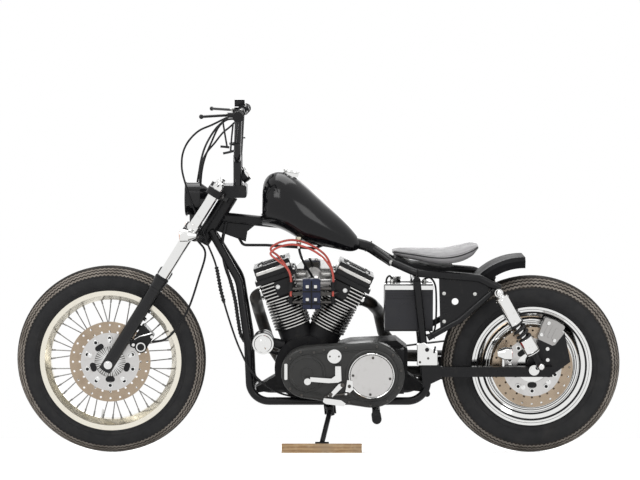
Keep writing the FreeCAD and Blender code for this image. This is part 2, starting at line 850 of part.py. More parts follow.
def fork_tubes():
    legs = []
    for side in (-1, 1):
        leg = rod(on_fork(s.slider_top, 0, side * s.fork_half),
                  on_fork(s.tube_top, 0, side * s.fork_half), s.tube_radius)
        cap = rod(on_fork(s.tube_top, 0, side * s.fork_half),
                  on_fork(s.tube_top + s.cap_height, 0, side * s.fork_half), s.cap_radius,
                  s.cap_radius * 0.7)
        legs.append(leg.fuse(cap))
    return shaped("fork_tubes", Part.makeCompound(legs))


def fork_sliders():
    legs = []
    for side in (-1, 1):
        y = side * s.fork_half
        leg = rod(on_fork(-s.slider_low, 0, y), on_fork(s.slider_top, 0, y), s.slider_radius)
        collar = rod(on_fork(s.slider_top - s.collar_length, 0, y), on_fork(s.slider_top, 0, y),
                     s.collar_radius)
        axle_hole = cross_rod(front_x, front_z, y - side * s.collar_radius * 2,
                              y + side * s.collar_radius * 2, s.axle_radius)
        legs.append(leg.fuse(collar).cut(axle_hole))
    return shaped("fork_sliders", Part.makeCompound(legs))


def front_axle():
    end = s.fork_half + s.slider_radius + s.axle_radius
    pin = cross_rod(front_x, front_z, -end, end, s.axle_radius)
    bore = cross_rod(front_x, front_z, -end - s.overrun, end + s.overrun, s.axle_bore)
    return shaped("front_axle", pin.cut(bore))


riser_foot = on_fork(s.upper_clamp_at + s.clamp_thick / 2, s.fork_offset) + v(s.riser_back, 0, 0)
bar_foot = riser_foot + v(0, 0, s.riser_height)


def handlebar(clamps):
    """Tall narrow bar in one bent tube, clamped between two risers."""
    foot_z = bar_foot.z
    x = bar_foot.x
    top_z = foot_z + s.bar_rise
    half = [v(x, s.bar_foot_half, foot_z), v(x + s.bar_pull_back, s.bar_corner_half, top_z),
            v(x + s.bar_pull_back * 2, s.bar_end_half, top_z)]
    points = [Vector(p.x, -p.y, p.z) for p in reversed(half)] + half
    bar = tube(points, s.bar_radius, s.bar_bend)
    risers = []
    for side in (-1, 1):
        y = side * s.riser_half
        risers.append(rod(riser_foot + v(0, y, 0), v(x, y, foot_z + s.riser_radius),
                          s.riser_radius))
    return shaped("handlebar", bar.fuse(risers).cut(clamps.Shape))


def bar_end(side, inward):
    """A point on the straight grip run of the bar, inward from its end."""
    top_z = bar_foot.z + s.bar_rise
    corner = v(bar_foot.x + s.bar_pull_back, side * s.bar_corner_half, top_z)
    end = v(bar_foot.x + s.bar_pull_back * 2, side * s.bar_end_half, top_z)
    return end + (corner - end).normalize() * float(inward)


def handlebar_grips():
    grips = []
    for side in (-1, 1):
        grip = rod(bar_end(side, s.grip_length), bar_end(side, -s.bar_radius / 2), s.grip_radius)
        hole = rod(bar_end(side, s.grip_length + s.overrun), bar_end(side, 0), s.bar_radius)
        grips.append(grip.cut(hole))
    return shaped("handlebar_grips", Part.makeCompound(grips))


def reservoir_box():
    """The brake fluid box on the right perch."""
    seat = bar_end(1, s.grip_length + s.perch_length / 2)
    width, length = s.reservoir_width, s.reservoir_length
    low = seat.z + s.perch_radius * 0.7
    return box(seat.x - width * 0.8, seat.x + width * 0.2, seat.y - length * 0.5,
               seat.y + s.perch_length / 2 - s.perch_gap, low, low + s.reservoir_height)


def mirror(side):
    """A stem below the perch with a small round head, seen on its edge in the side view."""
    top = bar_end(side, s.grip_length + s.perch_length / 2)
    end = top + v(-s.mirror_stem_length * 0.12, -side * s.mirror_stem_length * 0.1,
                  -s.mirror_stem_length)
    down = (end - top).normalize()
    head = rod(end - down * float(s.mirror_head_thick), end, s.mirror_head_radius)
    return rod(top, end, s.mirror_stem_radius).fuse(head)


def hand_levers():
    """Perch, lever blade, ball end and mirror on each side, and the brake reservoir."""
    pieces = []
    for side in (-1, 1):
        inner = bar_end(side, s.grip_length + s.perch_length + s.perch_gap)
        outer = bar_end(side, s.grip_length + s.perch_gap)
        perch = rod(inner, outer, s.perch_radius)
        pivot = (inner + outer) * 0.5 + v(-s.perch_radius * 2, 0, 0)
        arm = rod((inner + outer) * 0.5, pivot, s.perch_radius / 2)
        tip = v(bar_foot.x - s.lever_reach, side * (s.bar_end_half - s.grip_length / 4), pivot.z)
        blade = rod(pivot, tip, s.lever_radius)
        ball = Part.makeSphere(float(s.lever_ball_radius), tip)
        extras = [reservoir_box()] if side == 1 else []
        hole = rod(bar_end(side, s.grip_length + s.perch_length + s.perch_gap * 2),
                   bar_end(side, s.grip_length), s.bar_radius)
        pieces.append(perch.fuse([arm, blade, ball, mirror(side)] + extras).cut(hole))
    return shaped("hand_levers", Part.makeCompound(pieces))


def bar_switchgear(levers):
    """Switch housings round the bar beside the perches."""
    pieces = []
    near = s.grip_length + s.perch_gap + s.perch_length + s.running_gap
    for side in (-1, 1):
        inner = bar_end(side, near + s.switch_length)
        outer = bar_end(side, near)
        housing = rod(inner, outer, s.switch_radius)
        middle = (inner + outer) * 0.5
        lug = rod(middle, middle + v(s.switch_radius * 1.3, 0, s.switch_radius / 2),
                  s.switch_radius / 2)
        bore = rod(bar_end(side, near + s.switch_length + s.overrun),
                   bar_end(side, near - s.overrun), s.bar_radius)
        pieces.append(housing.fuse(lug).cut(bore))
    return shaped("bar_switchgear", Part.makeCompound(pieces).cut(levers.Shape))


def instruments(handlebar_item, clamps):
    """One round gauge behind the risers, its dial tilted up to the rider."""
    tilt = math.radians(s.gauge_tilt)
    facing = v(math.sin(tilt), 0, math.cos(tilt))
    centre = v(bar_foot.x + s.gauge_back, 0, bar_foot.z - s.riser_height * 0.447)
    drum = rod(centre - facing * float(s.gauge_depth / 2), centre + facing * float(s.gauge_depth / 2),
               s.gauge_radius)
    stay = cross_rod(bar_foot.x, centre.z, -s.riser_half, s.riser_half, s.stud_radius)
    arm = rod(v(bar_foot.x, 0, centre.z), centre, s.stud_radius)
    return shaped("instruments", drum.fuse([stay, arm]).cut([handlebar_item.Shape, clamps.Shape]))


lamp_z = on_fork(s.upper_clamp_at, 0).z - s.lamp_radius / 2
lamp_front_x = on_fork(s.lower_clamp_at + s.clamp_thick / 2, 0).x - s.lamp_ahead


def headlamp_shell(clamps):
    """A bucket lamp on a stalk from the lower clamp."""
    front = v(lamp_front_x, 0, lamp_z)
    drum = rod(front, front + v(s.lamp_length * 0.6, 0, 0), s.lamp_radius)
    back = rod(front + v(s.lamp_length * 0.6, 0, 0), front + v(s.lamp_length, 0, 0), s.lamp_radius,
               s.lamp_radius * 0.55)
    hollow = rod(front - v(s.overrun, 0, 0), front + v(s.lamp_length * 0.6, 0, 0),
                 s.lamp_radius - s.lamp_wall)
    shell = drum.fuse(back).cut(hollow)
    foot = on_fork(s.lower_clamp_at + s.clamp_thick / 2, 0)
    stalk = rod(foot, v(foot.x, 0, lamp_z), s.stem_radius).cut(
        rod(front, front + v(s.lamp_length, 0, 0), s.lamp_radius - s.lamp_wall))
    return shaped("headlamp_shell", shell.fuse(stalk).cut(clamps.Shape))


def headlamp_lens():
    front = v(lamp_front_x, 0, lamp_z)
    lens = rod(front + v(s.overrun, 0, 0), front + v(s.lamp_length * 0.6, 0, 0),
               s.lamp_radius - s.lamp_wall)
    return shaped("headlamp_lens", lens)


def bullet(centre, radius, length, stalk_from, stalk_radius):
    """A bullet indicator: flat lens forward, tapered tail, and its stalk."""
    front = centre - v(length / 2, 0, 0)
    drum = rod(front, front + v(length * 0.5, 0, 0), radius)
    tail = rod(front + v(length * 0.5, 0, 0), front + v(length, 0, 0), radius, radius * 0.35)
    stalk = rod(stalk_from, centre, stalk_radius)
    return drum.fuse([tail, stalk])


def front_indicators():
    lamps = []
    for side in (-1, 1):
        boss = s.fork_half + s.tube_radius + s.clamp_wall
        start = on_fork(s.lower_clamp_at, 0, side * boss)
        centre = v(start.x, side * s.indicator_half, start.z)
        lamps.append(bullet(centre, s.indicator_radius * 0.75, s.indicator_length, start,
                            s.stud_radius))
    return shaped("front_indicators", Part.makeCompound(lamps))


def front_caliper(sliders):
    """A caliper behind the left slider, its body split by the disc."""
    middle = -s.front_disc_y + s.disc_thick / 2
    half = s.caliper_half
    low, high = s.caliper_low, s.caliper_low + s.caliper_length
    near = s.slider_radius + s.caliper_stand_off
    far = near + s.caliper_width
    corners = [on_fork(low, near, middle - half), on_fork(low + s.caliper_taper, far, middle - half),
               on_fork(high - s.caliper_taper, far, middle - half),
               on_fork(high, near + s.caliper_step, middle - half),
               on_fork(high, near, middle - half)]
    block = Part.Face(Part.makePolygon(corners + [corners[0]])).extrude(v(0, half * 2, 0))
    block = rounded(block, s.caliper_round, along_y)
    slot = cross_rod(front_x, front_z, middle - s.disc_thick / 2 - s.pad_gap,
                     middle + s.disc_thick / 2 + s.pad_gap, s.disc_radius + s.disc_clearance)
    lugs = []
    across = middle - half + s.caliper_lug_radius
    for along in (low + s.caliper_lug_inset, high - s.caliper_lug_inset):
        lugs.append(rod(on_fork(along, 0, across),
                        on_fork(along, near + s.caliper_lug_reach, across), s.caliper_lug_radius))
    return shaped("front_caliper", block.fuse(lugs).cut([slot, sliders.Shape]))


# Outlines round the rear axle, in disc radii: caliper as (out, across), plate as (back, up)
REAR_CALIPER_SHARES = [(0.712, -0.233), (1.274, -0.274), (1.301, 0.0), (1.274, 0.274),
                       (0.712, 0.233)]
CALIPER_PLATE_SHARES = [(-0.151, -0.164), (-0.151, 0.164), (0.205, 0.822), (0.767, 0.890),
                        (0.918, 0.164), (0.425, -0.205)]


def outline_shares(shares, x, z, unit, unit_z=None):
    """Turn a table of shares into side-view corners about the point (x, z)."""
    return [(x + unit * a, z + (unit if unit_z is None else unit_z) * b) for a, b in shares]


def rear_caliper():
    """An alloy caliper at the back of the disc on a black bracket held by the axle."""
    middle = -s.rear_disc_y + s.disc_thick / 2
    turn = math.radians(s.rear_caliper_angle)
    out = v(math.cos(turn), 0, math.sin(turn))
    across = v(-math.sin(turn), 0, math.cos(turn))
    hub = v(rear_x, 0, rear_z)
    low, high = -s.swingarm_inner + s.running_gap, middle + s.caliper_half * 0.6
    corners = [hub + out * float(s.disc_radius * reach) + across * float(s.disc_radius * side)
               for reach, side in REAR_CALIPER_SHARES]
    block = slab([(corner.x, corner.z) for corner in corners], low, high)
    block = rounded(block, s.caliper_round, along_y)
    slot = cross_rod(rear_x, rear_z, middle - s.disc_thick / 2 - s.pad_gap,
                     middle + s.disc_thick / 2 + s.pad_gap, s.disc_radius + s.disc_clearance)
    plate = slab(outline_shares(CALIPER_PLATE_SHARES, hub.x, hub.z, s.disc_radius),
                 low, low + s.plate_thick * 1.5)
    hole = cross_rod(rear_x, rear_z, low * 2, 0, s.axle_radius + s.axle_fit)
    return shaped("rear_caliper", block.cut(slot).fuse(plate).cut(hole))


def brake_hoses():
    """From the right perch to the top of the lower clamp, and from under it to the caliper."""
    start = bar_end(1, s.grip_length + s.perch_length / 2) + v(-s.perch_radius * 1.6, 0, 0)
    head = on_fork(s.lower_clamp_at + s.clamp_thick / 2, -6, 34)
    foot = on_fork(s.lower_clamp_at - s.clamp_thick / 2, s.fork_offset * 0.7, -20)
    upper = [start, v(-352, 196, 1203), v(-383, 186, 1174), v(-408, 160, 1136), v(-424, 122, 1100),
             v(-434, 90, 1060), v(-440, 70, 1020), v(-452, 66, 950), v(-462, 58, 880), head]
    lower = [foot, v(-413, -34, 735), v(-437, -58, 645), v(-466, -72, 556), v(-494, -76, 500),
             v(-524, -78, 458), v(-560, -78, 428), v(-604, -76, 420)]
    return [tube(points, s.hose_radius, s.hose_bend / 2) for points in (upper, lower)]


def steering_cables(neighbours):
    """Brake hoses, and two switch looms from the bar to the back of the headlamp."""
    cables = brake_hoses()
    near = s.grip_length + s.perch_length + s.switch_length / 2
    back = v(lamp_front_x + s.lamp_length - 1, 0, lamp_z)
    for side in (-1, 1):
        start = bar_end(side, near) + v(0, 0, -s.switch_radius + 1)
        points = [start, start + v(-8, 0, -18), v(-352, side * 142, 1168),
                  v(-386, side * 122, 1120), v(-404, side * 96, 1060), v(-386, side * 62, 1000),
                  v(-366, side * 30, 950), back + v(2, side * 12, 0)]
        cables.append(tube(points, s.cable_radius, s.cable_bend * 0.5))
    cut = Part.makeCompound(cables).cut([piece.Shape for piece in neighbours])
    return shaped("steering_cables", cut)


def clutch_cable(neighbours):
    """From the left perch in a loop before the lamp, past the neck and down to the gearbox."""
    start = bar_end(-1, s.grip_length + s.perch_length / 2) + v(-s.perch_radius * 1.6, 0, 0)
    points = [start, v(-377, -196, 1206), v(-424, -160, 1184), v(-462, -122, 1148),
              v(-484, -94, 1109), v(-492, -80, 1068), v(-488, -74, 1020), v(-462, -60, 930),
              v(-436, -56, 862), v(-410, -62, 790), v(-374, -72, 700), v(-352, -100, 600),
              v(-318, -128, 490), v(-284, -142, 400), v(-240, -142, 318), v(-170, -134, 256),
              v(-90, -112, 226), v(-6, -100, 226), v(30, -96, 262)]
    cable = tube(points, s.cable_radius, s.cable_bend)
    return shaped("clutch_cable", cable.cut([piece.Shape for piece in neighbours]))


def wiring_loom(neighbours):
    """A loom that leaves the neck gusset and runs back below the tank."""
    points = [v(-292, -2, 786), v(-276, -40, 766), v(-193, -42, 766), v(-20, -42, 754),
              v(44, -10, 776)]
    loom = tube(points, s.loom_radius, s.loom_radius * 4)
    return shaped("wiring_loom", loom.cut([piece.Shape for piece in neighbours]))


# Frame
stem_low = on_fork(s.lower_clamp_at + s.clamp_thick / 2 + s.head_gap, s.fork_offset)
stem_high = on_fork(s.upper_clamp_at - s.clamp_thick / 2 - s.head_gap, s.fork_offset)


backbone_points = [stem_low + (stem_high - stem_low) * 0.55, v(s.backbone_mid_x, 0, backbone_height),
                   v(s.backbone_rear_x, 0, backbone_height - s.backbone_rear_drop),
                   v(s.backbone_end_x, 0, backbone_height - s.backbone_end_drop)]
# The neck gusset in head tube radii from the bottom of the head tube
GUSSET_SHARES = [(0.69, 0.86), (2.41, 2.92), (6.87, 1.85), (5.25, 0.54), (5.04, -0.74)]
# The tank's two mounting rods, as shares of the tank's length and height
TANK_MOUNT_SHARES = [(0.1215, 0.377), (0.9, 0.121)]


def frame_backbone():
    head = rod(stem_low, stem_high, s.head_tube_radius)
    backbone = tube(backbone_points, s.backbone_tube, s.backbone_bend)
    gusset = slab(outline_shares(GUSSET_SHARES, stem_low.x, stem_low.z, s.head_tube_radius),
                  -s.gusset_half, s.gusset_half)
    mounts = [cross_rod(x, z, -s.tunnel_half, s.tunnel_half, s.stud_radius * 1.5)
              for x, z in outline_shares(TANK_MOUNT_SHARES, s.tank_front_x, s.tank_base_height,
                                         s.tank_length, s.tank_height)]
    bore = rod(stem_low - fork_up, stem_high + fork_up, s.stem_radius + s.axle_fit)
    return shaped("frame_backbone", head.fuse([backbone, gusset] + mounts).cut(bore))


# The downtube's two knees, as shares of the height from the lower rail to the head tube
DOWNTUBE_KNEE_SHARES = (0.357, 0.733)
upright_top = v(s.upright_top_x, 0, backbone_height - s.upright_drop)
front_cross = v(s.front_cross_x, 0, s.rail_height + s.front_cross_rise)
rear_cross = v(s.rear_cross_x, 0, s.rail_height + s.rear_cross_rise)
# The swingarm's pivot plate and the cover ahead of it, in half heights of the arm
PIVOT_PLATE_SHARES = [(-2.83, -3.11), (0.61, -1.44), (1.06, 0.0), (0.61, 1.33), (-3.28, 3.0)]
PIVOT_COVER_SHARES = [(-4.06, 1.44), (-4.06, 5.67), (-2.61, 6.11), (0.06, 4.11), (0.06, 1.44)]


def upright_point(z):
    """Where the rear upright's centre line stands at a height."""
    share = (z - s.rail_height) / (upright_top.z - s.rail_height)
    return v(s.cradle_rear_x + (upright_top.x - s.cradle_rear_x) * share, 0, z)


def cradle_shapes():
    """Downtube, lower rail and rear upright of one side, as one bent tube."""
    half = s.rail_half
    radius = s.head_tube_radius
    low_knee, high_knee = [s.rail_height + (stem_low.z - s.rail_height) * share
                           for share in DOWNTUBE_KNEE_SHARES]
    points = [v(stem_low.x + radius * 0.76, s.downtube_top_half, stem_low.z + radius * 0.62),
              v(s.downtube_mid_x, s.downtube_mid_half, high_knee),
              v(s.downtube_low_x, half, low_knee), v(s.cradle_front_x, half, s.rail_height),
              v(s.cradle_rear_x, half, s.rail_height), v(upright_top.x, half, upright_top.z)]
    return tube(points, s.frame_tube, [s.downtube_sweep, s.downtube_sweep, s.downtube_bend,
                                       s.downtube_bend])


def frame_cradle(backbone):
    sides = both_sides(cradle_shapes())
    half = s.rail_half
    shelf = upright_point(s.battery_base_height - s.shelf_cross_drop)
    cross = [cross_rod(spot.x, spot.z, -half, half, s.frame_tube * 0.8)
             for spot in (front_cross, rear_cross, shelf)]
    cross.append(cross_rod(upright_top.x, upright_top.z, -half, half, s.frame_tube))
    plates = both_sides(slab(
        outline_shares(PIVOT_PLATE_SHARES, s.swingarm_pivot_x, s.swingarm_height,
                       s.swingarm_half_height),
        -s.swingarm_outer - s.pivot_plate_thick, -s.swingarm_outer))
    whole = sides[0].fuse([sides[1]] + cross + plates + [stand_bracket(), battery_tray()])
    return shaped("frame_cradle", whole.cut(backbone.Shape))


def battery_tray():
    """The shelf for battery and oil tank, on legs from the rear crossbar."""
    low = s.battery_base_height - s.tray_thick
    left, right = -s.battery_half, s.battery_half * 1.1
    shelf = box(s.battery_x, s.battery_x + s.battery_length, left, right, low,
                s.battery_base_height)
    cross = upright_point(s.battery_base_height - s.shelf_cross_drop)
    leg = box(cross.x - s.tray_thick / 2, cross.x + s.tray_thick / 2, left / 2, right / 2, cross.z,
              low)
    return shelf.fuse(leg)


rail_start = backbone_points[2] + (backbone_points[3] - backbone_points[2]) * 0.24
rail_front = v(s.upright_top_x, s.seat_rail_half, backbone_height - s.rail_front_drop)
rail_end = v(rear_x - s.rail_end_ahead, s.seat_rail_half, backbone_height - s.rail_end_drop)
strut_foot = v(s.strut_foot_x, s.seat_rail_half, s.battery_base_height - s.strut_foot_drop)
strut_top = rail_end - v(s.frame_tube, 0, 0)
# The strut's knee, as shares of its run forward and its drop
STRUT_KNEE_SHARES = (0.527, 0.635)


def frame_seat_rails(backbone, cradle):
    half = s.seat_rail_half
    tube_radius = s.frame_tube
    upper = tube([rail_start + v(0, tube_radius * 0.43, tube_radius / 4),
                  backbone_points[3] + v(-tube_radius * 0.29, s.rail_splay, tube_radius * 0.43),
                  rail_front,
                  v(rear_x - s.rail_knee_ahead, half, backbone_height - s.rail_knee_drop),
                  rail_end + v(0, s.rail_end_splay, 0)],
                 tube_radius, [s.rail_front_bend, s.rail_bend, s.rail_bend])
    forward, down = STRUT_KNEE_SHARES
    knee = v(strut_top.x + (strut_foot.x - strut_top.x) * forward, half,
             strut_top.z + (strut_foot.z - strut_top.z) * down)
    strut = tube([strut_top, knee, strut_foot], tube_radius * 0.8, s.strut_bend)
    sides = both_sides(upper.fuse(strut))
    cross = cross_rod(rear_x - s.seat_cross_ahead, backbone_height - s.seat_cross_drop, -half, half,
                      tube_radius * 0.8)
    rails = sides[0].fuse([sides[1], cross])
    return shaped("frame_seat_rails", rails.cut(backbone.Shape.fuse(cradle.Shape)))


# Engine
crank = v(s.crank_x, 0, s.crank_height)
FRONT = -1
REAR = 1


def cylinder_place(which):
    """Local frame of a cylinder: Z along its bore from the crank centre, Y across the bike."""
    angle = -s.front_cylinder_angle if which == FRONT else s.rear_cylinder_angle
    return Placement(crank, Rotation(Y, float(angle)))


def v_cutter(which):
    """Everything past the middle plane of the V, less half the gap."""
    tilt = (s.rear_cylinder_angle - s.front_cylinder_angle) / 2
    reach = s.engine_reach
    near = s.v_gap / 2
    if which == FRONT:
        half = box(-near, reach, -reach, reach, -reach, reach * 2)
    else:
        half = box(-reach, near, -reach, reach, -reach, reach * 2)
    half.Placement = Placement(crank, Rotation(Y, float(tilt)))
    return half


def gearbox_pulley():
    """The output pulley on its shaft, on the right of the gearbox."""
    x, z = s.gearbox_pulley_x, s.gearbox_pulley_height
    low = s.belt_y - s.belt_half_width
    high = s.belt_y + s.belt_half_width
    drum = cross_rod(x, z, low, high, s.gearbox_pulley_radius)
    flange = cross_rod(x, z, high, high + s.pulley_lip, s.gearbox_pulley_radius + s.belt_thick)
    shaft = cross_rod(x, z, s.crankcase_half, high + s.pulley_lip * 3, s.stem_radius)
    return drum.fuse([flange, shaft])


# Outlines from the crank, as shares of the gearbox length back and the crank chamber radius up
GEARBOX_SHARES = [(0.0, -0.915), (0.89, -0.746), (1.0, -0.424), (1.0, 0.593), (0.89, 0.864),
                  (0.431, 0.797), (0.293, 0.678)]
PRIMARY_BACK_SHARES = [(-0.204, -0.678), (0.956, -0.678), (0.956, 0.678), (0.017, 0.805),
                       (-0.204, 0.508)]
FRONT_LUG_SHARES = [(-0.26, -0.169), (-0.232, -0.678)]
REAR_LUG_SHARES = [(0.989, -0.169), (0.9, -0.169), (0.9, -0.695)]
# Cam side cover from the crank, in radii of that cover
GEARCASE_SHARES = [(-1.238, -0.238), (-0.881, -1.012), (1.262, -1.131), (1.976, -0.69),
                   (1.976, 0.619), (1.024, 1.31), (-0.702, 1.31)]


def from_crank(shares):
    return outline_shares(shares, crank.x, crank.z, s.gearbox_length, s.crank_chamber_radius)


def crankcase(cradle):
    half = s.crankcase_half
    chamber = cross_rod(crank.x, crank.z, -half, half, s.crank_chamber_radius)
    gearbox = slab(from_crank(GEARBOX_SHARES), -half, half)
    decks = []
    for which in (FRONT, REAR):
        deck = Part.makeCylinder(float(s.deck_radius), float(s.deck_height))
        deck.Placement = cylinder_place(which)
        decks.append(deck)
    inner = slab(from_crank(PRIMARY_BACK_SHARES), -s.primary_inner_y, -half)
    lug, wide = s.mount_lug_half, s.mount_lug_width
    front_lug = [(front_cross.x, front_cross.z - lug), (front_cross.x, front_cross.z + lug)]
    rear_lug = [(rear_cross.x, rear_cross.z - lug), (rear_cross.x, rear_cross.z + lug)]
    lugs = [slab(front_lug + from_crank(FRONT_LUG_SHARES), -wide, wide),
            slab(rear_lug + from_crank(REAR_LUG_SHARES), -wide, wide)]
    case = chamber.fuse([gearbox, inner] + decks + lugs)
    return shaped("crankcase", case.cut(cradle.Shape).fuse(gearbox_pulley()))


def cylinder_barrels(case):
    barrels = []
    for which in (FRONT, REAR):
        core = Part.makeCylinder(float(s.barrel_radius), float(s.barrel_length), O)
        fins = []
        count = int(s.fin_count)
        pitch = s.barrel_length / count
        for index in range(count):
            base = v(0, 0, pitch * (index + 0.5) - s.fin_thick / 2)
            fins.append(Part.makeCylinder(float(s.fin_radius), float(s.fin_thick), base))
        barrel = core.fuse(fins)
        barrel.translate(v(0, 0, s.deck_height))
        barrel.Placement = cylinder_place(which).multiply(barrel.Placement)
        barrels.append(barrel.cut(v_cutter(which)))
    return shaped("cylinder_barrels", Part.makeCompound(barrels))


def cylinder_heads():
    heads = []
    for which in (FRONT, REAR):
        base = s.deck_height + s.barrel_length
        core = box(-s.head_core, s.head_core, -s.head_core * 1.2, s.head_core * 1.2, base,
                   base + s.head_length)
        count = int(s.head_fin_count)
        pitch = s.head_length / count
        fins = []
        for index in range(count):
            low = base + pitch * (index + 0.5) - s.fin_thick / 2
            fins.append(box(-s.head_half_x, s.head_half_x, -s.head_half_y, s.head_half_y, low,
                            low + s.fin_thick))
        head = core.fuse(fins)
        head.Placement = cylinder_place(which)
        heads.append(head)
    return shaped("cylinder_heads", Part.makeCompound(heads))


def rocker_boxes():
    boxes = []
    for which in (FRONT, REAR):
        base = s.deck_height + s.barrel_length + s.head_length
        inset = s.rocker_inset
        foot = box(-s.rocker_base_half_x, s.rocker_base_half_x, -s.rocker_left_half,
                   s.rocker_right_half, base, base + s.rocker_base_height)
        top = box(-s.rocker_base_half_x + inset, s.rocker_base_half_x - inset,
                  -s.rocker_left_half + inset, s.rocker_right_half - inset,
                  base + s.rocker_base_height, base + s.rocker_height)
        whole = foot.fuse(top)
        whole.Placement = cylinder_place(which)
        boxes.append(whole)
    return shaped("rocker_boxes", Part.makeCompound(boxes))


def hull_of_rounds(front, rear):
    """Two rounds, each (x, z, radius), joined by their outer tangents, in the plane y = 0."""
    gap = math.hypot(rear[0] - front[0], rear[1] - front[1])
    slope = math.atan2(rear[1] - front[1], rear[0] - front[0])
    turn = math.acos((front[2] - rear[2]) / gap)
    corners = []
    for side in (1, -1):
        angle = slope + side * turn
        corners.append([v(x + r * math.cos(angle), 0, z + r * math.sin(angle))
                        for x, z, r in (front, rear)])
    (front_top, rear_top), (front_low, rear_low) = corners
    front_far = v(front[0] - front[2] * math.cos(slope), 0, front[1] - front[2] * math.sin(slope))
    rear_far = v(rear[0] + rear[2] * math.cos(slope), 0, rear[1] + rear[2] * math.sin(slope))
    return Part.Wire([
        Part.LineSegment(front_top, rear_top).toShape(),
        Part.Arc(rear_top, rear_far, rear_low).toShape(),
        Part.LineSegment(rear_low, front_low).toShape(),
        Part.Arc(front_low, front_far, front_top).toShape()])


def primary_cover():
    outline = Part.Face(hull_of_rounds(
        (crank.x, crank.z + s.primary_front_lift, s.primary_front_radius),
        (s.clutch_x, s.clutch_height, s.primary_rear_radius)))
    outline = outline.translated(v(0, -s.primary_outer_y, 0))
    cover = outline.extrude(v(0, s.primary_outer_y - s.primary_inner_y, 0))
    face_edges = [edge for edge in cover.Edges
                  if all(abs(vertex.Y + s.primary_outer_y) < 1e-6 for vertex in edge.Vertexes)]
    cover = cover.makeFillet(float(s.primary_round), face_edges)
    return shaped("primary_cover", cover)


def side_covers(cradle):
    """Bright covers on the left: clutch, inspection hole and swingarm pivot."""
    face = -s.primary_outer_y
    derby = rod(v(s.clutch_x, face, s.clutch_height), v(s.clutch_x, face - s.derby_thick,
                s.clutch_height), s.derby_radius, s.derby_radius - s.derby_thick / 2)
    small = rod(v(s.inspection_x, face, s.inspection_height),
                v(s.inspection_x, face - s.cover_thick, s.inspection_height), s.inspection_radius)
    low, high = -s.rail_half - s.frame_tube - s.pivot_cover_depth, -s.rail_half
    pivot = rounded(slab(outline_shares(PIVOT_COVER_SHARES, s.swingarm_pivot_x, s.swingarm_height,
                                        s.swingarm_half_height), low, high),
                    s.plate_thick, lambda edge: True)
    return shaped("side_covers", Part.makeCompound([derby, small, pivot]).cut(cradle.Shape))


def gearcase_cover():
    half = s.crankcase_half
    cover = slab(outline_shares(GEARCASE_SHARES, crank.x, crank.z, s.cam_cover_radius), half,
                 s.cam_cover_y)
    return shaped("gearcase_cover", rounded(cover, s.cam_cover_round, along_y))


def pushrod_tubes(gearcase, rockers):
    tubes = []
    top = s.deck_height + s.barrel_length + s.head_length
    for which in (FRONT, REAR):
        for spread in (-1, 1):
            start = v(spread * s.pushrod_spread * 0.7, s.pushrod_y, s.pushrod_foot)
            end = v(spread * s.pushrod_spread, s.pushrod_y, top)
            one = rod(start, end, s.pushrod_radius)
            one.Placement = cylinder_place(which)
            tubes.append(one)
    bundle = Part.makeCompound(tubes)
    return shaped("pushrod_tubes", bundle.cut([gearcase.Shape, rockers.Shape]))


carb_centre = crank + v(s.carb_back, 0, s.carb_rise)


def carburettor(heads):
    neck = rod(carb_centre + v(0, s.carb_radius * 0.625, 0), carb_centre + v(0, s.carb_y, 0),
               s.carb_radius)
    across = s.carb_radius * 0.94
    cross = rod(carb_centre + v(-s.manifold_half, across, 0),
                carb_centre + v(s.manifold_half, across, 0), s.carb_radius * 0.6)
    return shaped("carburettor", neck.fuse(cross).cut(heads.Shape))


def air_cleaner():
    middle = carb_centre + v(0, s.carb_y, 0)
    drum = rod(middle, middle + v(0, s.air_cleaner_depth, 0), s.air_cleaner_radius)
    return shaped("air_cleaner", drum)


# Each pipe's bends from its port, as shares of the pipe run: back, to the right, up
FRONT_PIPE_SHARES = [(-0.11, 0.015, -0.0375), (-0.08, 0.25, -0.215), (0.01, 0.325, -0.515),
                     (0.185, 0.34, -0.795), (1.735, 0.37, -0.81)]
REAR_PIPE_SHARES = [(0.12, 0.0125, -0.05), (0.2, 0.2275, -0.1575), (0.25, 0.3325, -0.3825),
                    (0.41, 0.3575, -0.5975), (1.01, 0.3675, -0.6075)]


def pipe_points(which, shares):
    """The port in the outer face of one head, and the bends that follow it."""
    base = s.deck_height + s.barrel_length
    port = cylinder_place(which).multVec(
        v(which * s.head_core * 1.08, s.head_core * 0.85, base + s.head_length * 0.448))
    return [port] + [port + v(back, right, up) * float(s.pipe_run) for back, right, up in shares]


def exhaust_pipes(heads):
    front = pipe_points(FRONT, FRONT_PIPE_SHARES)
    rear = pipe_points(REAR, REAR_PIPE_SHARES)
    bends = [s.port_bend, s.exhaust_bend, s.exhaust_bend, s.exhaust_bend]
    pipes = [tube(path, s.exhaust_radius, bends, s.exhaust_bore) for path in (front, rear)]
    return shaped("exhaust_pipes", Part.makeCompound(pipes).cut(heads.Shape))


def oil_filter(case):
    x, z = crank.x - s.filter_ahead, crank.z + s.filter_rise
    can = cross_rod(x, z, -s.filter_left, -s.filter_right, s.filter_radius)
    across = -s.filter_radius * 1.05
    inner = crank + v(-s.crank_chamber_radius, 0, s.crank_chamber_radius) * 0.7
    adapter = rod(v(x, across, z), v(inner.x, across, inner.z), s.filter_radius * 0.47)
    return shaped("oil_filter", can.fuse(adapter).cut(case.Shape))


def lead_seats():
    """For each lead its place across the bike, its tower's height and its boot's top."""
    return [(s.lead_y, s.tower_height, s.tower_height + s.boot_length),
            (s.lead_y - s.lead_pitch, s.tower_height + s.tower_pitch,
             s.tower_height + s.tower_pitch + s.boot_length)]


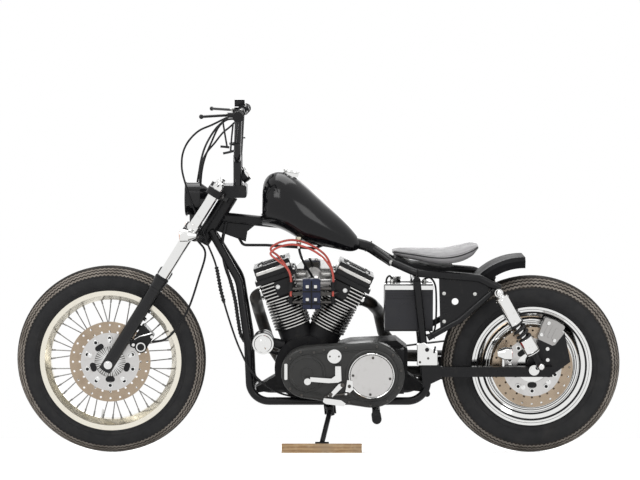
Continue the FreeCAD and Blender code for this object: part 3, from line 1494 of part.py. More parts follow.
def ignition_coil(heads):
    x, low = crank.x + s.coil_back, crank.z + s.coil_rise
    block = rounded(box(x - s.coil_half_length, x + s.coil_half_length,
                        -s.coil_inner_y - s.coil_thick, -s.coil_inner_y, low, low + s.coil_height),
                    s.coil_round, lambda edge: True)
    strip = low + s.coil_height * 0.404
    front, rear = x - s.coil_plate_ahead, x + s.coil_plate_back
    plate = box(front, rear, -s.coil_inner_y, -s.coil_inner_y + s.plate_thick, strip,
                strip + s.plate_thick * 3)
    feet = [cross_rod(foot, strip + s.plate_thick * 1.5, -s.coil_inner_y + s.plate_thick * 0.75,
                      -s.head_half_y, s.stud_radius * 1.5)
            for foot in (front + s.coil_foot_inset, rear - s.coil_foot_inset)]
    towers = []
    for y, height, top in lead_seats():
        towers.append(rod(v(s.lead_left_x, y, height), v(s.lead_right_x, y, height),
                          s.lead_radius * 1.3))
        for x in (s.lead_left_x, s.lead_right_x):
            towers.append(rod(v(x, y, height - s.boot_radius), v(x, y, top), s.boot_radius))
    return shaped("ignition_coil", block.fuse([plate] + feet + towers).cut(heads.Shape))


# Tank, seat and rear fender
TANK_SHARES = [
    # along, bottom, top, half width
    (0.0, 0.33, 0.47, 0.25),
    (0.02, 0.325, 0.76, 0.55),
    (0.06, 0.325, 0.93, 0.78),
    (0.16, 0.30, 1.0, 0.95),
    (0.30, 0.22, 0.965, 1.0),
    (0.45, 0.11, 0.83, 0.95),
    (0.62, 0.06, 0.63, 0.80),
    (0.80, 0.015, 0.42, 0.58),
    (0.94, 0.0, 0.23, 0.36),
    (1.0, 0.03, 0.12, 0.12),
]


def ring_section(x, low, high, half, waist_share, side_points=5):
    """A closed smooth section across the bike, fuller below its waist."""
    middle = low + (high - low) * waist_share
    points = []
    count = side_points * 4
    for index in range(count):
        angle = 2 * math.pi * index / count
        up = math.cos(angle)
        rise = (high - middle) if up > 0 else (middle - low)
        points.append(v(x, half * math.sin(angle), middle + rise * up))
    curve = Part.BSplineCurve()
    curve.interpolate(points, PeriodicFlag=True)
    return Part.Wire(curve.toShape())


def fuel_tank():
    """Peanut tank lofted through cross sections, with the backbone's tunnel below."""
    sections = []
    for along, bottom, top, width in TANK_SHARES:
        sections.append(ring_section(
            s.tank_front_x + s.tank_length * along, s.tank_base_height + s.tank_height * bottom,
            s.tank_base_height + s.tank_height * top, s.tank_half_width * width, 0.42))
    tank = Part.makeLoft(sections, True, False)
    half = s.tunnel_half
    roof = s.backbone_tube + s.tunnel_gap
    nose, middle, rear = ((backbone_points[0] + backbone_points[1]) * 0.5, backbone_points[1],
                          backbone_points[2])
    floor = s.tank_base_height - s.tank_height / 2
    tunnel = slab([(nose.x, nose.z + roof), (middle.x, middle.z + roof), (rear.x, rear.z + roof),
                   (rear.x, floor), (nose.x, floor)], -half, half)
    return shaped("fuel_tank", tank.cut(tunnel))


def tank_cap(tank):
    place = v(s.tank_front_x + s.tank_length * 0.301, 0,
              s.tank_base_height + s.tank_height * 0.945)
    cap = rod(place, place + v(s.tank_cap_depth * 0.18, 0, s.tank_cap_depth), s.tank_cap_radius)
    return shaped("tank_cap", cap.cut(tank.Shape))


SEAT_SHARES = [
    # along, bottom, top, half width
    (0.0, 0.55, 0.72, 0.22),
    (0.08, 0.40, 0.77, 0.42),
    (0.25, 0.26, 0.76, 0.62),
    (0.45, 0.15, 0.72, 0.92),
    (0.62, 0.13, 0.73, 1.0),
    (0.78, 0.20, 0.86, 0.98),
    (0.92, 0.45, 0.99, 0.80),
    (1.0, 0.78, 0.97, 0.45),
]


def seat_pad():
    sections = []
    for along, bottom, top, width in SEAT_SHARES:
        sections.append(ring_section(
            s.seat_front_x + s.seat_length * along, s.seat_base_height + s.seat_height * bottom,
            s.seat_base_height + s.seat_height * top, s.seat_half_width * width, 0.5))
    return shaped("seat_pad", Part.makeLoft(sections, True, False))


# The pan's side outline, as shares of the seat's length and height
SEAT_PAN_SHARES = [(0.0425, 0.487), (0.222, 0.128), (0.582, -0.051), (0.712, 0.0), (0.712, -0.179),
                   (0.582, -0.231), (0.222, -0.077), (0.0, 0.282)]


def seat_pan(pad, frame):
    wide = s.seat_half_width * 0.484
    pan = slab(outline_shares(SEAT_PAN_SHARES, s.seat_front_x, s.seat_base_height, s.seat_length,
                              s.seat_height), -wide, wide)
    return shaped("seat_pan", pan.cut([pad.Shape] + [piece.Shape for piece in frame]))


def rear_fender(rails):
    """A short channel turned about its own centre, flicking level at the tail."""
    outer = s.fender_radius
    wall = s.fender_wall
    half = s.fender_half
    skirt = s.fender_skirt
    section = [(outer, -half + skirt / 3), (outer - skirt / 3, -half), (outer - skirt, -half),
               (outer - skirt, -half + wall), (outer - skirt / 3, -half + wall),
               (outer - wall, -half + skirt / 3), (outer - wall, half - skirt / 3),
               (outer - skirt / 3, half - wall), (outer - skirt, half - wall),
               (outer - skirt, half), (outer - skirt / 3, half), (outer, half - skirt / 3)]
    corners = [v(r, y, 0) for r, y in section]
    face = Part.Face(Part.makePolygon(corners + [corners[0]]))
    sweep = s.fender_start_angle - s.fender_end_angle
    turned = face.revolve(O, Y, -float(sweep))
    turned.Placement = Placement(v(s.fender_x, 0, s.fender_height),
                                 Rotation(Y, -float(s.fender_end_angle)))
    return shaped("rear_fender", turned.cut(rails.Shape))


# Rear end
def swingarm():
    arms = []
    for side in (-1, 1):
        inner, outer = side * s.swingarm_inner, side * s.swingarm_outer
        low, high = min(inner, outer), max(inner, outer)
        half = s.swingarm_half_height
        arm = box(s.swingarm_pivot_x, s.swingarm_end_x, low, high, s.swingarm_height - half,
                  s.swingarm_height + half)
        boss = cross_rod(s.swingarm_pivot_x, s.swingarm_height, low, high, half * 1.3)
        lug = cross_rod(s.shock_low_x, s.shock_low_height, inner,
                        side * (s.shock_y - s.shock_eye_radius), half)
        arms += [arm, boss, lug]
    tube_across = cross_rod(s.swingarm_pivot_x, s.swingarm_height, -s.swingarm_inner,
                            s.swingarm_inner, s.swingarm_half_height)
    axle_hole = cross_rod(rear_x, rear_z, -s.swingarm_outer * 1.1, s.swingarm_outer * 1.1,
                          s.axle_radius)
    whole = arms[0].fuse(arms[1:] + [tube_across]).cut(axle_hole)
    return shaped("swingarm", whole)


def rear_axle():
    end = s.swingarm_outer + s.axle_radius * 1.5
    pin = cross_rod(rear_x, rear_z, -end, end, s.axle_radius)
    bore = cross_rod(rear_x, rear_z, -end - s.overrun, end + s.overrun, s.axle_bore)
    return shaped("rear_axle", pin.cut(bore))


def shock_point(share, side):
    top = v(s.shock_top_x, side * s.shock_y, s.shock_top_height)
    low = v(s.shock_low_x, side * s.shock_y, s.shock_low_height)
    return top + (low - top) * share


def rear_shocks():
    pieces = []
    for side in (-1, 1):
        y = side * s.shock_y
        upper = rod(shock_point(0.06, side), shock_point(0.42, side), s.shock_body_radius)
        damper = rod(shock_point(0.02, side), shock_point(0.98, side), s.shock_body_radius * 0.5)
        seat = rod(shock_point(0.80, side), shock_point(0.84, side), s.shock_body_radius)
        eyes = [cross_rod(x, z, y - s.shock_eye_radius, y + s.shock_eye_radius, s.shock_eye_radius)
                for x, z in ((s.shock_top_x, s.shock_top_height), (s.shock_low_x, s.shock_low_height))]
        pieces.append(upper.fuse([damper, seat] + eyes))
    return shaped("rear_shocks", Part.makeCompound(pieces))


def shock_springs():
    springs = []
    for side in (-1, 1):
        outer = rod(shock_point(0.42, side), shock_point(0.80, side), s.shock_spring_radius)
        inner = rod(shock_point(0.42, side), shock_point(0.80, side), s.shock_body_radius * 0.7)
        springs.append(outer.cut(inner))
    return shaped("shock_springs", Part.makeCompound(springs))


def battery():
    body = box(s.battery_x, s.battery_x + s.battery_length, -s.battery_half, s.battery_half * 0.1,
               s.battery_base_height, s.battery_base_height + s.battery_height)
    return shaped("battery", body)


def oil_tank():
    body = box(s.battery_x, s.battery_x + s.battery_length, s.battery_half * 0.2,
               s.battery_half * 1.1, s.battery_base_height, s.battery_base_height + s.battery_height)
    return shaped("oil_tank", rounded(body, s.battery_half / 5, lambda edge: True))


# The side plate from the strut's foot, as shares of the strut's run and of the rail's height
SIDE_PLATE_SHARES = [(0.185, 0.128), (0.16, 0.919), (0.885, 0.855), (0.885, 0.684), (0.473, 0.278)]


def side_plate(cradle, rails):
    """A thin cover in the triangle of the left rear frame tubes, with one round hole."""
    low, high = -s.rail_half - s.plate_thick / 2, -s.rail_half + s.plate_thick / 2
    run, rise = strut_top.x - strut_foot.x, rail_front.z - strut_foot.z
    plate = slab(outline_shares(SIDE_PLATE_SHARES, strut_foot.x, strut_foot.z, run, rise), low,
                 high)
    hole = cross_rod(strut_foot.x + run * 0.399, strut_foot.z + rise * 0.564, low * 2, 0,
                     s.plate_hole_radius)
    return shaped("side_plate", plate.cut([hole, cradle.Shape, rails.Shape]))


def rear_pulley():
    """A belt sprocket bolted to the hub, dished to its spokes."""
    seat = s.rear_hub_half
    high = s.belt_y + s.belt_half_width + s.pulley_lip
    low = s.belt_y - s.belt_half_width - s.pulley_lip
    ring = cross_rod(rear_x, rear_z, low, high, s.pulley_radius + s.pulley_lip)
    groove = cross_rod(rear_x, rear_z, low + s.pulley_lip, high - s.pulley_lip,
                       s.pulley_radius * 2)
    groove = groove.cut(cross_rod(rear_x, rear_z, low, high, s.pulley_radius))
    hollow = cross_rod(rear_x, rear_z, low - s.pulley_lip, high + s.pulley_lip,
                       s.pulley_radius - s.pulley_rim)
    web = cross_rod(rear_x, rear_z, s.belt_y - s.pulley_lip, s.belt_y + s.pulley_lip,
                    s.pulley_radius - s.pulley_rim / 2)
    boss = cross_rod(rear_x, rear_z, seat, high, s.rear_hub_radius)
    count = int(s.pulley_window_count)
    windows = []
    for index in range(count):
        turn = math.radians(360 / count * index)
        reach = (s.rear_hub_radius + s.pulley_radius - s.pulley_rim) / 2
        windows.append(cross_rod(rear_x + reach * math.cos(turn), rear_z + reach * math.sin(turn),
                                 low, high, s.pulley_window_radius))
    bore = cross_rod(rear_x, rear_z, 0, high * 2, s.axle_radius + s.axle_fit)
    pulley = ring.cut([groove, hollow]).fuse([web.cut(windows), boss]).cut(bore)
    return shaped("rear_pulley", pulley)


def drive_belt():
    """A flat loop round both pulleys, standing off each by the running gap."""
    def loop(extra):
        small = (s.gearbox_pulley_x, s.gearbox_pulley_height,
                 s.gearbox_pulley_radius + s.running_gap + extra)
        large = (rear_x, rear_z, s.pulley_radius + s.running_gap + extra)
        return Part.Face(hull_of_rounds(small, large))
    low = s.belt_y - s.belt_half_width
    belt = loop(s.belt_thick).cut(loop(0)).translated(v(0, low, 0))
    return shaped("drive_belt", belt.extrude(v(0, s.belt_half_width * 2, 0)))


# Foot controls
def foot_pegs(cradle):
    """On each side a bracket below the lower rail and a rubber peg."""
    pegs = []
    for side in (-1, 1):
        def across(near, far, x_half, low, high):
            return box(s.peg_x - x_half, s.peg_x + x_half, min(side * near, side * far),
                       max(side * near, side * far), low, high)
        half, thick = s.peg_bracket_half, s.peg_bracket_thick
        inset, root = s.peg_radius * 0.75, s.peg_radius / 4
        arm = across(s.rail_half - inset, s.peg_inner_y + root, half, s.peg_arm_height,
                     s.peg_arm_height + thick)
        saddle = across(s.rail_half - inset, s.rail_half + inset, half, s.peg_arm_height,
                        s.rail_height - thick / 4)
        drop = across(s.peg_inner_y - inset / 2, s.peg_inner_y + root, half,
                      s.peg_height - s.peg_radius, s.peg_arm_height + thick)
        peg = cross_rod(s.peg_x, s.peg_height, side * s.peg_inner_y,
                        side * (s.peg_inner_y + s.peg_length), s.peg_radius)
        pegs.append(arm.fuse([saddle, drop, peg]).cut(cradle.Shape))
    return shaped("foot_pegs", Part.makeCompound(pegs))


# The gear lever from the crank in its own reach, and the brake pedal from the peg in its reach
GEAR_LEVER_SHARES = [(0.017, -0.183), (0.017, -0.05), (0.717, -0.1), (0.833, -0.017),
                     (0.833, 0.267), (1.0, 0.267), (1.017, -0.167), (0.917, -0.217),
                     (0.633, -0.233)]
BRAKE_PEDAL_SHARES = [(0.0, 0.007), (0.0, 0.052), (-0.439, 0.066), (-0.845, 0.096),
                      (-0.978, 0.148), (-1.0, 0.118), (-0.86, 0.059), (-0.446, 0.022)]


def foot_controls(neighbours):
    """Left gear lever on the primary face; right brake pedal from the peg bracket."""
    face = -s.primary_outer_y
    low, high = face - s.lever_stand_off - s.lever_thick, face - s.lever_stand_off
    reach = s.gear_lever_reach
    arm = slab(outline_shares(GEAR_LEVER_SHARES, crank.x, crank.z, reach), low, high)
    shaft = cross_rod(crank.x + reach * 0.917, crank.z + reach * 0.183, face,
                      low - s.lever_thick / 4, s.toe_radius * 0.75)
    toe = cross_rod(crank.x + reach * 0.017, crank.z - reach * 0.117, high, low - s.toe_length,
                    s.toe_radius)
    right = s.peg_inner_y
    reach, base = s.pedal_reach, s.peg_arm_height
    pedal = slab(outline_shares(BRAKE_PEDAL_SHARES, s.peg_x, base, reach), right - s.lever_thick,
                 right)
    pad = box(s.peg_x - reach * 1.015, s.peg_x - reach * 0.882, right - s.lever_thick,
              right + s.toe_length, base + reach * 0.125, base + reach * 0.162)
    return shaped("foot_controls", Part.makeCompound([
        arm.fuse([shaft, toe]), pedal.fuse(pad).cut([piece.Shape for piece in neighbours])]))


def rear_indicators():
    """Bullet lamps on stalks from the swingarm, lens to the rear."""
    lamps = []
    for side in (-1, 1):
        centre = v(s.rear_lamp_x, side * s.rear_lamp_y, s.rear_lamp_height)
        half = s.rear_lamp_length / 2
        drum = rod(centre + v(half, 0, 0), centre, s.rear_lamp_radius)
        tail = rod(centre, centre - v(half, 0, 0), s.rear_lamp_radius, s.rear_lamp_radius * 0.5)
        foot = v(s.rear_lamp_x, side * (s.swingarm_inner + s.swingarm_outer) / 2,
                 s.swingarm_height + s.swingarm_half_height)
        stalk = tube([foot, foot + v(0, 0, s.rear_lamp_height - foot.z - s.stud_radius * 1.33),
                      v(s.rear_lamp_x, side * s.rear_lamp_y, s.rear_lamp_height)],
                     s.stud_radius, s.stud_radius)
        lamps.append(drum.fuse([tail, stalk]))
    return shaped("rear_indicators", Part.makeCompound(lamps))


def plug_leads():
    """Two ignition leads that loop over the rocker boxes from one head to the other."""
    leads = []
    for step, (y, height, top) in enumerate(lead_seats()):
        lift = step * s.lead_pitch
        points = [v(s.lead_left_x, y, top), v(s.lead_left_x, y, 656), v(-116, y, 690),
                  v(-146, y, 722 + lift),
                  v(-178, y, 744 + lift), v(-146, y + 6, 764 + lift), v(-100, y + 8, 776 + lift),
                  v(-52, y + 8, 764 + lift), v(-8, y + 6, 742 + lift), v(24, y + 2, 712 + lift),
                  v(s.lead_right_x, y, 670), v(s.lead_right_x, y, top)]
        leads.append(tube(points, s.lead_radius, s.lead_bend))
    return shaped("plug_leads", Part.makeCompound(leads))


# Stand and block, laid out level with the floor
def floor_to_bike(point):
    return LEAN.inverse().multVec(point)


stand_pivot = v(s.stand_x, -s.stand_y, s.stand_height)
foot_point = v(s.foot_x, -s.block_y, s.block_height + s.running_gap)


hinge_axis = v(s.stand_axis_forward_share, s.stand_axis_left_share, s.stand_axis_up_share)
hinge_place = Placement(stand_pivot, Rotation(Z, hinge_axis))


def stand_bracket():
    """Two lugs and a back plate below the left rail, with the hinge pin through them."""
    eye = s.stand_eye_half + s.head_gap
    lug = s.stand_lug_thick
    radius = s.stand_lug_radius
    back = s.stand_plate_back
    pieces = []
    for low in (eye, -eye - lug):
        pieces.append(Part.makeCylinder(float(radius), float(lug), v(0, 0, low)))
        pieces.append(box(-radius, radius, 0, back, low, low + lug))
    plate_top = s.rail_height - s.stand_height + s.frame_tube / 2
    pieces.append(box(-radius * 1.4, radius * 1.4, back - lug / 2, back + lug / 2, -eye - lug,
                      plate_top))
    pin = Part.makeCylinder(float(s.stand_pin_radius), float(2 * (eye + lug)),
                            v(0, 0, -eye - lug))
    bracket = pin.fuse(pieces)
    bracket.Placement = hinge_place
    return bracket


def side_stand():
    foot = Part.makeBox(float(s.foot_half * 2), float(s.foot_half * 1.4), float(s.foot_thick),
                        foot_point - v(s.foot_half, s.foot_half * 0.7, 0))
    top = leaned(stand_pivot)
    sole = foot_point + v(0, 0, s.foot_thick / 2)
    leg = rod(top, sole, s.stand_leg_radius)
    reach = s.block_y
    floor = Part.makeBox(float(reach * 2), float(reach * 2), float(foot_point.z),
                         v(-reach, -reach * 2, 0))
    stand = foot.fuse(leg.cut(floor))
    stand.Placement = LEAN.inverse().multiply(stand.Placement)
    half = s.stand_eye_half
    eye = Part.makeCylinder(float(s.stand_eye_radius), float(half * 2), v(0, 0, -half))
    bore = Part.makeCylinder(float(s.stand_pin_radius + s.axle_fit), float(half * 4),
                             v(0, 0, -half * 2))
    slot = Part.makeCylinder(float(s.stand_eye_radius * 1.3), float(half * 4), v(0, 0, half))
    under = slot.translated(v(0, 0, -half * 6))
    for item in (eye, bore, slot, under):
        item.Placement = hinge_place.multiply(item.Placement)
    return shaped("side_stand", stand.cut([slot, under]).fuse(eye).cut(bore))


def timber_block():
    item = primitive("Box", "timber_block", Placement(), Length=s.block_half_length * 2,
                     Width=s.block_half_width * 2, Height=s.block_height)
    corner = v(s.block_x - s.block_half_length, -s.block_y - s.block_half_width, 0)
    item.Placement = LEAN.inverse().multiply(Placement(corner, Rotation()))
    return keep(item, "timber_block")


# Build everything in the bike frame
tyre("front_tyre", s.front_tyre_radius, s.front_crown_radius, s.front_bead_radius,
     s.front_bead_half, s.front_flange_radius, s.running_gap, wheel_place(front_x, front_z))
tyre("rear_tyre", s.rear_tyre_radius, s.rear_crown_radius, s.rear_bead_radius,
     s.rear_bead_half, s.rear_flange_radius, s.running_gap, wheel_place(rear_x, rear_z))
front_wheel()
rear_wheel()
brake_disc("front_disc", -1, wheel_place(front_x, front_z, -s.front_disc_y))
brake_disc("rear_disc", -1, wheel_place(rear_x, rear_z, -s.rear_disc_y))
clamps = triple_clamps()
fork_tubes()
sliders = fork_sliders()
front_axle()
bar_item = handlebar(clamps)
handlebar_grips()
levers = hand_levers()
switches = bar_switchgear(levers)
gauge = instruments(bar_item, clamps)
lamp_shell = headlamp_shell(clamps)
headlamp_lens()
front_indicators()
backbone = frame_backbone()
cradle = frame_cradle(backbone)
rails = frame_seat_rails(backbone, cradle)
case = crankcase(cradle)
cylinder_barrels(case)
heads = cylinder_heads()
rockers = rocker_boxes()
primary_cover()
side_covers(cradle)
gearcase = gearcase_cover()
pushrod_tubes(gearcase, rockers)
carburettor(heads)
air_cleaner()
exhaust_pipes(heads)
oil_filter(case)
ignition_coil(heads)
tank = fuel_tank()
tank_cap(tank)
pad = seat_pad()
seat_pan(pad, (backbone, cradle, rails))
rear_fender(rails)
swingarm()
rear_axle()
rear_shocks()
shock_springs()
battery()
oil_tank()
side_plate(cradle, rails)
rear_pulley()
drive_belt()
pegs = foot_pegs(cradle)
foot_controls((pegs, cradle, case))
rear_indicators()
rear_caliper()
caliper = front_caliper(sliders)
plug_leads()
steering_cables((switches, lamp_shell, clamps, bar_item, gauge, levers, caliper))
clutch_cable((levers, case, cradle, backbone, lamp_shell))
wiring_loom((backbone, tank))
side_stand()
timber_block()

doc.recompute()
shift = Placement(centring(), Rotation())
for node in nodes:
    node.Placement = shift.multiply(LEAN).multiply(node.Placement)
doc.recompute()

os.makedirs("parts", exist_ok=True)
for item in doc.Objects:
    if "Invalid" in item.State or "Error" in item.State:
        raise RuntimeError(f"{item.Name} did not compute: {item.State}")
for node in nodes:
    if node.Shape.isNull() or not node.Shape.isValid():
        raise RuntimeError(f"{node.Label} has no valid shape")
for node in nodes:
    node.Shape.exportStep(f"parts/{node.Label}.step")
whole = Part.makeCompound([node.Shape for node in nodes])
print(len(nodes), "nodes", whole.BoundBox)
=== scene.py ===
import bpy
import json
import math
import numpy as np
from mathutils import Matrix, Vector


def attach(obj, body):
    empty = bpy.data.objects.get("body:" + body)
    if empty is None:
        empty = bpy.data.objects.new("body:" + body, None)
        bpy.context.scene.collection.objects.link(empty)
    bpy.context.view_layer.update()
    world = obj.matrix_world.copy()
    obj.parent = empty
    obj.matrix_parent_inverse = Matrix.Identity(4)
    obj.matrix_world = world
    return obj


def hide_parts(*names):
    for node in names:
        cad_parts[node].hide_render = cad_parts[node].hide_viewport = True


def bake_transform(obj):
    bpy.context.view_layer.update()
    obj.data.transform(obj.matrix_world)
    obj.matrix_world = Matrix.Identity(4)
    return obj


# ---- The machine as packed, and where the photograph was taken from
# A V-twin chopper resting on its side stand. The camera lies almost on the
# floor, seven metres off its left side, tipped up by 5.6 degrees.
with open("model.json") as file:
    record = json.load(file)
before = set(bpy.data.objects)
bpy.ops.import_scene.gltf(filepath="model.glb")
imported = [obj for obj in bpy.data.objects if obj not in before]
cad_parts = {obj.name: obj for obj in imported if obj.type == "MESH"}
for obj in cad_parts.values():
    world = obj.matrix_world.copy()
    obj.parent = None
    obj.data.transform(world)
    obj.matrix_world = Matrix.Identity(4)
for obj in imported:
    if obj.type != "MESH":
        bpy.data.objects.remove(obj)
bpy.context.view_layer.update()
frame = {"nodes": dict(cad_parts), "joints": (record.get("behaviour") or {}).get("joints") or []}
nodes = frame["nodes"]
scene = bpy.context.scene
axle_at = next(j for j in frame["joints"] if j["name"] == "front_wheel_spin")["pos_m"]
AXLE_AHEAD, AXLE_ASIDE = 0.758, 0.0716
STANDS_AT = np.array((axle_at[0] + AXLE_AHEAD, axle_at[1] + AXLE_ASIDE, 0.0))
CAMERA_AWAY, CAMERA_HIGH, CAMERA_TURN = 7.1, 0.080, 95.62
photo_lens = bpy.data.cameras.new("photo_camera")
photo_lens.sensor_width = 36.0
photo_lens.lens = 108.45
camera = bpy.data.objects.new("photo_camera", photo_lens)
camera.location = (STANDS_AT[0], STANDS_AT[1] - CAMERA_AWAY, CAMERA_HIGH)
camera.rotation_euler = (math.radians(CAMERA_TURN), 0, 0)
scene.collection.objects.link(camera)
scene.camera = camera
scene.view_settings.view_transform = "Standard"


# ---- Studio floor, sky and lamps
# A pale painted floor that takes the shadow, and a sky dim near the floor. The
# camera, metal and glass see both as white; four large soft lamps light the rest.
class Finish:
    """A surface made of one Principled shader. Wear is added to it by noise read in Object coordinates."""

    def __init__(self, name, colour, roughness, metallic=0.0, coat=0.0, specular=0.5):
        self.material = bpy.data.materials.new(name)
        self.material.use_nodes = True
        self.tree = self.material.node_tree
        self.shader = self.tree.nodes["Principled BSDF"]
        for socket, value in (("Base Color", (*colour, 1)), ("Roughness", roughness),
                              ("Metallic", metallic), ("Coat Weight", coat),
                              ("Coat Roughness", 0.06), ("Specular IOR Level", specular)):
            self.shader.inputs[socket].default_value = value
        self.place = self.node("ShaderNodeTexCoord").outputs["Object"]
        self.relief = None

    def node(self, kind, **values):
        """A node whose sockets named in values are set."""
        made = self.tree.nodes.new(kind)
        for name, value in values.items():
            made.inputs[name.replace("_", " ")].default_value = value
        return made

    def join(self, output, socket):
        """Links an output to a socket, and gives the output back."""
        self.tree.links.new(output, socket)
        return output

    def texture(self, kind, moved=None, **values):
        """A texture read in Object coordinates, which the values in moved draw out or shift."""
        made, place = self.node("ShaderNodeTex" + kind, **values), self.place
        if moved:
            mapping = self.node("ShaderNodeMapping", **moved)
            self.join(place, mapping.inputs["Vector"])
            place = mapping.outputs["Vector"]
        self.join(place, made.inputs["Vector"])
        return made

    def noise(self, scale, detail=4.0, stretch=None):
        """Soft noise of a scale in waves per metre, drawn out by stretch."""
        moved = {"Scale": stretch} if stretch else None
        return self.texture("Noise", moved, Scale=scale, Detail=detail, Roughness=0.55).outputs["Fac"]

    def between(self, value, low, high, start=0.3, end=0.7):
        """value from start to end becomes low to high, held at both ends."""
        made = self.node("ShaderNodeMapRange", From_Min=start, From_Max=end, To_Min=low, To_Max=high)
        self.join(value, made.inputs["Value"])
        return made.outputs["Result"]

    def worn(self, scale, low, high, **kind):
        """Roughness wanders between low and high."""
        self.join(self.between(self.noise(scale, **kind), low, high), self.shader.inputs["Roughness"])
        return self

    def tinted(self, share, other):
        """The colour goes towards another by share."""
        mix = self.node("ShaderNodeMix")
        mix.data_type = "RGBA"
        self.join(share, mix.inputs[0])
        base = self.shader.inputs["Base Color"]
        if base.is_linked:
            self.join(base.links[0].from_socket, mix.inputs[6])
        else:
            mix.inputs[6].default_value = base.default_value[:]
        mix.inputs[7].default_value = (*other, 1)
        self.join(mix.outputs[2], base)
        return self

    def stained(self, scale, other, amount=1.0, start=0.4, end=0.7, **kind):
        """Patches of another colour: its share goes from 0 to amount while the noise goes from start to end."""
        return self.tinted(self.between(self.noise(scale, **kind), 0.0, amount, start, end), other)

    def raised(self, height, strength, depth):
        """height lifts the surface by depth metres, on top of what lifts it already."""
        made = self.node("ShaderNodeBump", Strength=strength, Distance=depth)
        self.join(height, made.inputs["Height"])
        if self.relief:
            self.join(self.relief, made.inputs["Normal"])
        self.relief = self.join(made.outputs["Normal"], self.shader.inputs["Normal"])
        return self

    def grained(self, scale, strength, depth=0.0003, **kind):
        """A fine relief of noise, depth metres deep."""
        return self.raised(self.noise(scale, **kind), strength, depth)


def larger(tree, one, other):
    """The greater of two outputs."""
    made = tree.nodes.new("ShaderNodeMath")
    made.operation = "MAXIMUM"
    tree.links.new(one, made.inputs[0])
    tree.links.new(other, made.inputs[1])
    return made.outputs[0]


sky = bpy.data.worlds.new("studio_sky")
scene.world = sky
sky.use_nodes = True
wire = sky.node_tree.links.new
light_sky = sky.node_tree.nodes["Background"]
light_sky.inputs["Strength"].default_value = 0.85
way, height, dome, seen_sky, ray, choice = (sky.node_tree.nodes.new("ShaderNode" + kind) for kind in (
    "TexCoord", "SeparateXYZ", "ValToRGB", "Background", "LightPath", "MixShader"))
dome.color_ramp.elements.new(0.26)
for stop, place, shade in zip(dome.color_ramp.elements, (0.04, 0.26, 0.62),
                              ((0.10, 0.10, 0.11, 1), (0.30, 0.30, 0.31, 1), (1, 1, 1, 1))):
    stop.position, stop.color = place, shade
seen_sky.inputs["Color"].default_value = (1, 1, 1, 1)
sees = larger(sky.node_tree, ray.outputs["Is Camera Ray"], ray.outputs["Is Transmission Ray"])
wire(way.outputs["Generated"], height.inputs[0])
wire(height.outputs["Z"], dome.inputs["Fac"])
wire(dome.outputs["Color"], light_sky.inputs["Color"])
wire(larger(sky.node_tree, sees, ray.outputs["Is Glossy Ray"]), choice.inputs["Fac"])
wire(light_sky.outputs["Background"], choice.inputs[1])
wire(seen_sky.outputs["Background"], choice.inputs[2])
wire(choice.outputs["Shader"], sky.node_tree.nodes["World Output"].inputs["Surface"])

for lamp_name, lamp_at, lamp_size, watts in (
        ("key_lamp", (-2.2, -3.6, 3.4), 2.4, 75), ("fill_lamp", (3.0, -3.2, 2.0), 1.8, 28),
        ("roof_lamp", (0.2, 0.5, 3.6), 2.2, 45), ("rear_lamp", (0.4, 3.8, 2.2), 2.6, 30)):
    lamp = bpy.data.lights.new(lamp_name, "AREA")
    lamp.size = lamp_size
    lamp.energy = watts
    stand = bpy.data.objects.new(lamp_name, lamp)
    stand.location = lamp_at
    stand.rotation_euler = (Vector((0, 0, 0.5)) - Vector(lamp_at)).to_track_quat("-Z", "Y").to_euler()
    scene.collection.objects.link(stand)

FLOOR_HALF, FLOOR_GLOW = 9.0, 0.4
floor_paint = Finish("studio_floor_paint", (0.88, 0.88, 0.88), 0.7, specular=0.2)
glow_ray = floor_paint.node("ShaderNodeLightPath")
floor_paint.shader.inputs["Emission Color"].default_value = (1, 1, 1, 1)
seen_glow = floor_paint.between(glow_ray.outputs["Is Camera Ray"], 0.0, FLOOR_GLOW, 0.0, 1.0)
floor_paint.join(seen_glow, floor_paint.shader.inputs["Emission Strength"])
mirror_ray = larger(floor_paint.tree, glow_ray.outputs["Is Glossy Ray"], glow_ray.outputs["Is Transmission Ray"])
mirror_white = floor_paint.node("ShaderNodeEmission", Color=(1, 1, 1, 1), Strength=1.0)
floor_choice = floor_paint.node("ShaderNodeMixShader")
floor_paint.join(mirror_ray, floor_choice.inputs[0])
floor_paint.join(floor_paint.shader.outputs["BSDF"], floor_choice.inputs[1])
floor_paint.join(mirror_white.outputs["Emission"], floor_choice.inputs[2])
floor_paint.join(floor_choice.outputs["Shader"], floor_paint.tree.nodes["Material Output"].inputs["Surface"])
reach = np.linspace(-FLOOR_HALF, FLOOR_HALF, 3)
floor_x, floor_y = np.meshgrid(reach, reach, indexing="ij")
floor_corners = np.stack((floor_x, floor_y, 0 * floor_x), -1).reshape(-1, 3)
first = np.array((0, 1, 3, 4))
floor_faces = np.stack((first, first + 3, first + 4, first + 1), -1)
floor_mesh = bpy.data.meshes.new("studio_floor")
floor_mesh.from_pydata(floor_corners.tolist(), [], floor_faces.tolist())
floor_mesh.materials.append(floor_paint.material)
studio_floor = bpy.data.objects.new("studio_floor", floor_mesh)
scene.collection.objects.link(studio_floor)


# ---- Timber block under the stand foot
# A short length of sawn softwood, grey with use, laid flat on the floor so that
# the foot of the stand doesn't sink in. Rings show on its two sawn ends.
LEAN = math.radians(12.0)


def upright(points):
    """Row frame metres back to the upright machine in millimetres: shifted, then turned by -12 degrees about X."""
    p = np.asarray(points, float) - STANDS_AT
    c, s = math.cos(LEAN), math.sin(LEAN)
    return np.stack((p[..., 0], p[..., 1] * c + p[..., 2] * s, p[..., 2] * c - p[..., 1] * s), -1) * 1000.0


